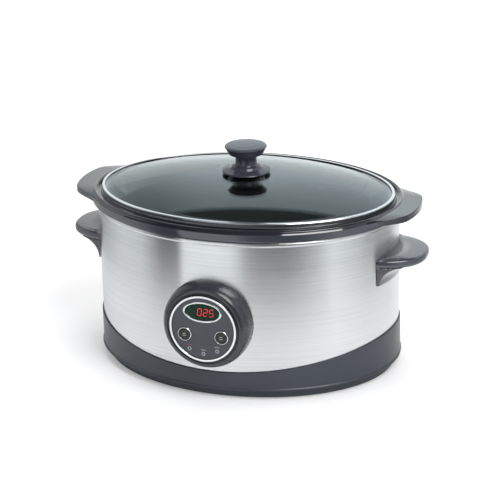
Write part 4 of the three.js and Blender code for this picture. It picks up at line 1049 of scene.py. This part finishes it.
# The floor's own light grows with distance, so that it meets the background without an edge.
def buildFloor(v):
    half = v["floorSize"] / 2
    mesh = bpy.data.meshes.new("floor")
    mesh.from_pydata([(-half, -half, 0), (half, -half, 0), (half, half, 0), (-half, half, 0)], [], [(0, 1, 2, 3)])
    floor = bpy.data.objects.new("floor", mesh)
    scene.collection.objects.link(floor)
    material = bpy.data.materials.new("paleFloor")
    material.use_nodes = True
    tree = material.node_tree
    shader = tree.nodes["Principled BSDF"]
    shader.inputs["Base Color"].default_value = (*v["floorColour"], 1)
    shader.inputs["Roughness"].default_value = v["floorRough"]
    shader.inputs["Specular IOR Level"].default_value = 0.0
    shader.inputs["Emission Color"].default_value = (1, 1, 1, 1)
    path = addNode(tree, "ShaderNodeLightPath").outputs
    mirrored = addNode(tree, "ShaderNodeMath", {0: path["Is Glossy Ray"], 1: path["Is Transmission Ray"]},
                       operation="MAXIMUM")
    dim = addNode(tree, "ShaderNodeMath", {0: mirrored.outputs[0], 1: v["mirrorGlow"]}, operation="MULTIPLY")
    where = addNode(tree, "ShaderNodeTexCoord").outputs["Object"]
    away = addNode(tree, "ShaderNodeVectorMath", {0: where}, operation="LENGTH").outputs["Value"]
    seen = ranged(tree, away, v["nearGlow"], v["farGlow"], v["glowStart"], v["glowEnd"])
    glow = addNode(tree, "ShaderNodeMath", {0: path["Is Camera Ray"], 1: seen, 2: dim.outputs[0]},
                   operation="MULTIPLY_ADD")
    tree.links.new(glow.outputs[0], shader.inputs["Emission Strength"])
    mesh.materials.append(material)


# The camera sees plain white. Mirrors and glass see a room instead: white at the back, dimmer at the left and in
# front, with a dark ceiling.
def buildStudio(v):
    world = bpy.data.worlds.new("studio")
    scene.world = world
    world.use_nodes = True
    tree = world.node_tree
    background = tree.nodes["Background"]
    path = addNode(tree, "ShaderNodeLightPath").outputs
    towards = addNode(tree, "ShaderNodeTexCoord").outputs["Generated"]
    parts = addNode(tree, "ShaderNodeSeparateXYZ", {"Vector": towards})

    def turning(axis, edge, low, high):
        given = {"Value": parts.outputs[axis], "From Min": edge[0], "From Max": edge[1], "To Min": low,
                 "To Max": high}
        return addNode(tree, "ShaderNodeMapRange", given, interpolation_type="SMOOTHSTEP").outputs["Result"]

    back = turning("Y", v["roomEdge"], v["roomLevel"], v["backLevel"])
    side = turning("X", v["leftEdge"], v["leftLevel"], 1.0)
    walls = addNode(tree, "ShaderNodeMath", {0: back, 1: side}, operation="MULTIPLY").outputs["Value"]
    room = turning("Z", v["ceilingEdge"], walls, v["ceilingLevel"])
    mirrored = addNode(tree, "ShaderNodeMath", {0: path["Is Glossy Ray"], 1: path["Is Transmission Ray"]},
                       operation="MAXIMUM")
    first = addNode(tree, "ShaderNodeMix", {"Factor": mirrored.outputs[0], "A": v["skyLevel"], "B": room})
    level = addNode(tree, "ShaderNodeMix", {"Factor": path["Is Camera Ray"], "A": first.outputs[0], "B": 1.0})
    tree.links.new(level.outputs[0], background.inputs["Strength"])
    tree.links.new(blended(tree, mirrored.outputs[0], (1, 1, 1), v["coolShade"]), background.inputs["Color"])


buildFloor(stageValues)
buildStudio(stageValues)

lampAim = (0, 0, 0.1)
lampValues = [
    {"name": "keyLamp", "place": (1.1, -0.9, 1.7), "size": 1.3, "power": 26.0, "mirrored": True},
    {"name": "topLamp", "place": (-0.2, 0.5, 2.0), "size": 1.6, "power": 14.0, "mirrored": False},
]
for lamp in lampValues:
    light = bpy.data.lights.new(lamp["name"], "AREA")
    light.shape = "DISK"
    light.size = lamp["size"]
    light.energy = lamp["power"]
    holder = bpy.data.objects.new(lamp["name"], light)
    holder.visible_glossy = lamp["mirrored"]
    holder.visible_transmission = False           # the glass shows the room, not the lamps
    holder.location = lamp["place"]
    holder.rotation_euler = (Vector(lampAim) - holder.location).to_track_quat("-Z", "Y").to_euler()
    scene.collection.objects.link(holder)

# A low curved screen round the set, which only reflections see: the steel shows its shades as soft upright bands.
# Each band is (degrees from the front, turning to the right; shade).
screenValues = {"radius": 0.42, "bottom": 0.001, "top": 0.33, "columns": 180, "tint": (0.95, 0.985, 1.0), "bands": [
    (-180, 1.0), (-135, 0.9), (-112, 0.38), (-92, 0.50), (-75, 0.70), (-58, 0.66), (-50, 0.40), (-42, 0.07),
    (-31, 0.02), (-29, 0.97), (-8, 1.0), (0, 0.85), (8, 0.24), (16, 0.08), (31, 0.04), (38, 0.14), (51, 0.50),
    (60, 0.85), (72, 0.72), (90, 0.45), (120, 0.50), (140, 0.9), (180, 1.0)]}


# An upright ring, x = R sin t, y = -R cos t, whose own light is read off the bands by the angle t. The ramp's first
# and last stops are there already, and the others are added between them.
def buildScreen(v):
    turn = wholeTurn(v["columns"])
    ring = np.stack([v["radius"] * np.sin(turn), middleY / 1000 - v["radius"] * np.cos(turn)], axis=1)
    low = np.column_stack([ring, 0 * turn + v["bottom"]])
    high = np.column_stack([ring, 0 * turn + v["top"]])
    mesh = bpy.data.meshes.new("reflectionScreen")
    quads = gridQuads(2, v["columns"], False)
    mesh.from_pydata(np.vstack([low, high]).tolist(), [], quads.tolist())
    screen = bpy.data.objects.new("reflectionScreen", mesh)
    scene.collection.objects.link(screen)
    for ray in ("camera", "diffuse", "transmission", "shadow", "volume_scatter"):
        setattr(screen, f"visible_{ray}", False)
    material = bpy.data.materials.new("reflectionScreen")
    material.use_nodes = True
    tree = material.node_tree
    where = addNode(tree, "ShaderNodeTexCoord").outputs["Object"]
    parts = addNode(tree, "ShaderNodeSeparateXYZ", {"Vector": where}).outputs
    flipped = addNode(tree, "ShaderNodeMath", {0: middleY / 1000, 1: parts["Y"]}, operation="SUBTRACT")
    angle = addNode(tree, "ShaderNodeMath", {0: parts["X"], 1: flipped.outputs[0]}, operation="ARCTAN2")
    share = ranged(tree, angle.outputs[0], 0.0, 1.0, -math.pi, math.pi)
    ramp = addNode(tree, "ShaderNodeValToRGB", {"Fac": share})
    stops = ramp.color_ramp.elements
    for place, shade in v["bands"][1:-1]:
        stops.new((place + 180) / 360).color = (*(shade * part for part in v["tint"]), 1)
    for stop, shade in ((stops[0], v["bands"][0][1]), (stops[-1], v["bands"][-1][1])):
        stop.color = (*(shade * part for part in v["tint"]), 1)
    shader = tree.nodes["Principled BSDF"]
    shader.inputs["Base Color"].default_value = (0, 0, 0, 1)
    shader.inputs["Specular IOR Level"].default_value = 0
    tree.links.new(ramp.outputs["Color"], shader.inputs["Emission Color"])
    shader.inputs["Emission Strength"].default_value = 1.0
    mesh.materials.append(material)


buildScreen(screenValues)

# Angles are in degrees, lens and sensor in millimetres, the rest in metres.
cameraValues = {"azimuth": 19.6, "elevation": 21.0, "distance": 2.0, "lens": 132.9, "sensor": 36.0, "roll": 1.46,
                "aimX": 0.00173, "aimZ": 0.1174, "clip": (0.05, 60.0)}


# The camera stands at an azimuth and an elevation from its aim, and is turned by the roll about its own axis.
def buildCamera(v):
    turn, rise, roll = (math.radians(v[key]) for key in ("azimuth", "elevation", "roll"))
    back = Vector((math.sin(turn) * math.cos(rise), -math.cos(turn) * math.cos(rise), math.sin(rise)))
    right = Vector((math.cos(turn), math.sin(turn), 0))
    up = back.cross(right)
    aim = Vector((0, middleY / 1000, v["aimZ"])) + right * v["aimX"]
    levelRight = right * math.cos(roll) - up * math.sin(roll)
    levelUp = right * math.sin(roll) + up * math.cos(roll)
    turned = Matrix((levelRight, levelUp, back)).transposed()
    camera = bpy.data.objects.new("camera", bpy.data.cameras.new("camera"))
    camera.matrix_world = Matrix.Translation(aim + back * v["distance"]) @ turned.to_4x4()
    camera.data.lens = v["lens"]
    camera.data.sensor_width = v["sensor"]
    camera.data.clip_start, camera.data.clip_end = v["clip"]
    scene.collection.objects.link(camera)
    scene.camera = camera


buildCamera(cameraValues)
scene.view_settings.view_transform = "Standard"
print("scene ready")
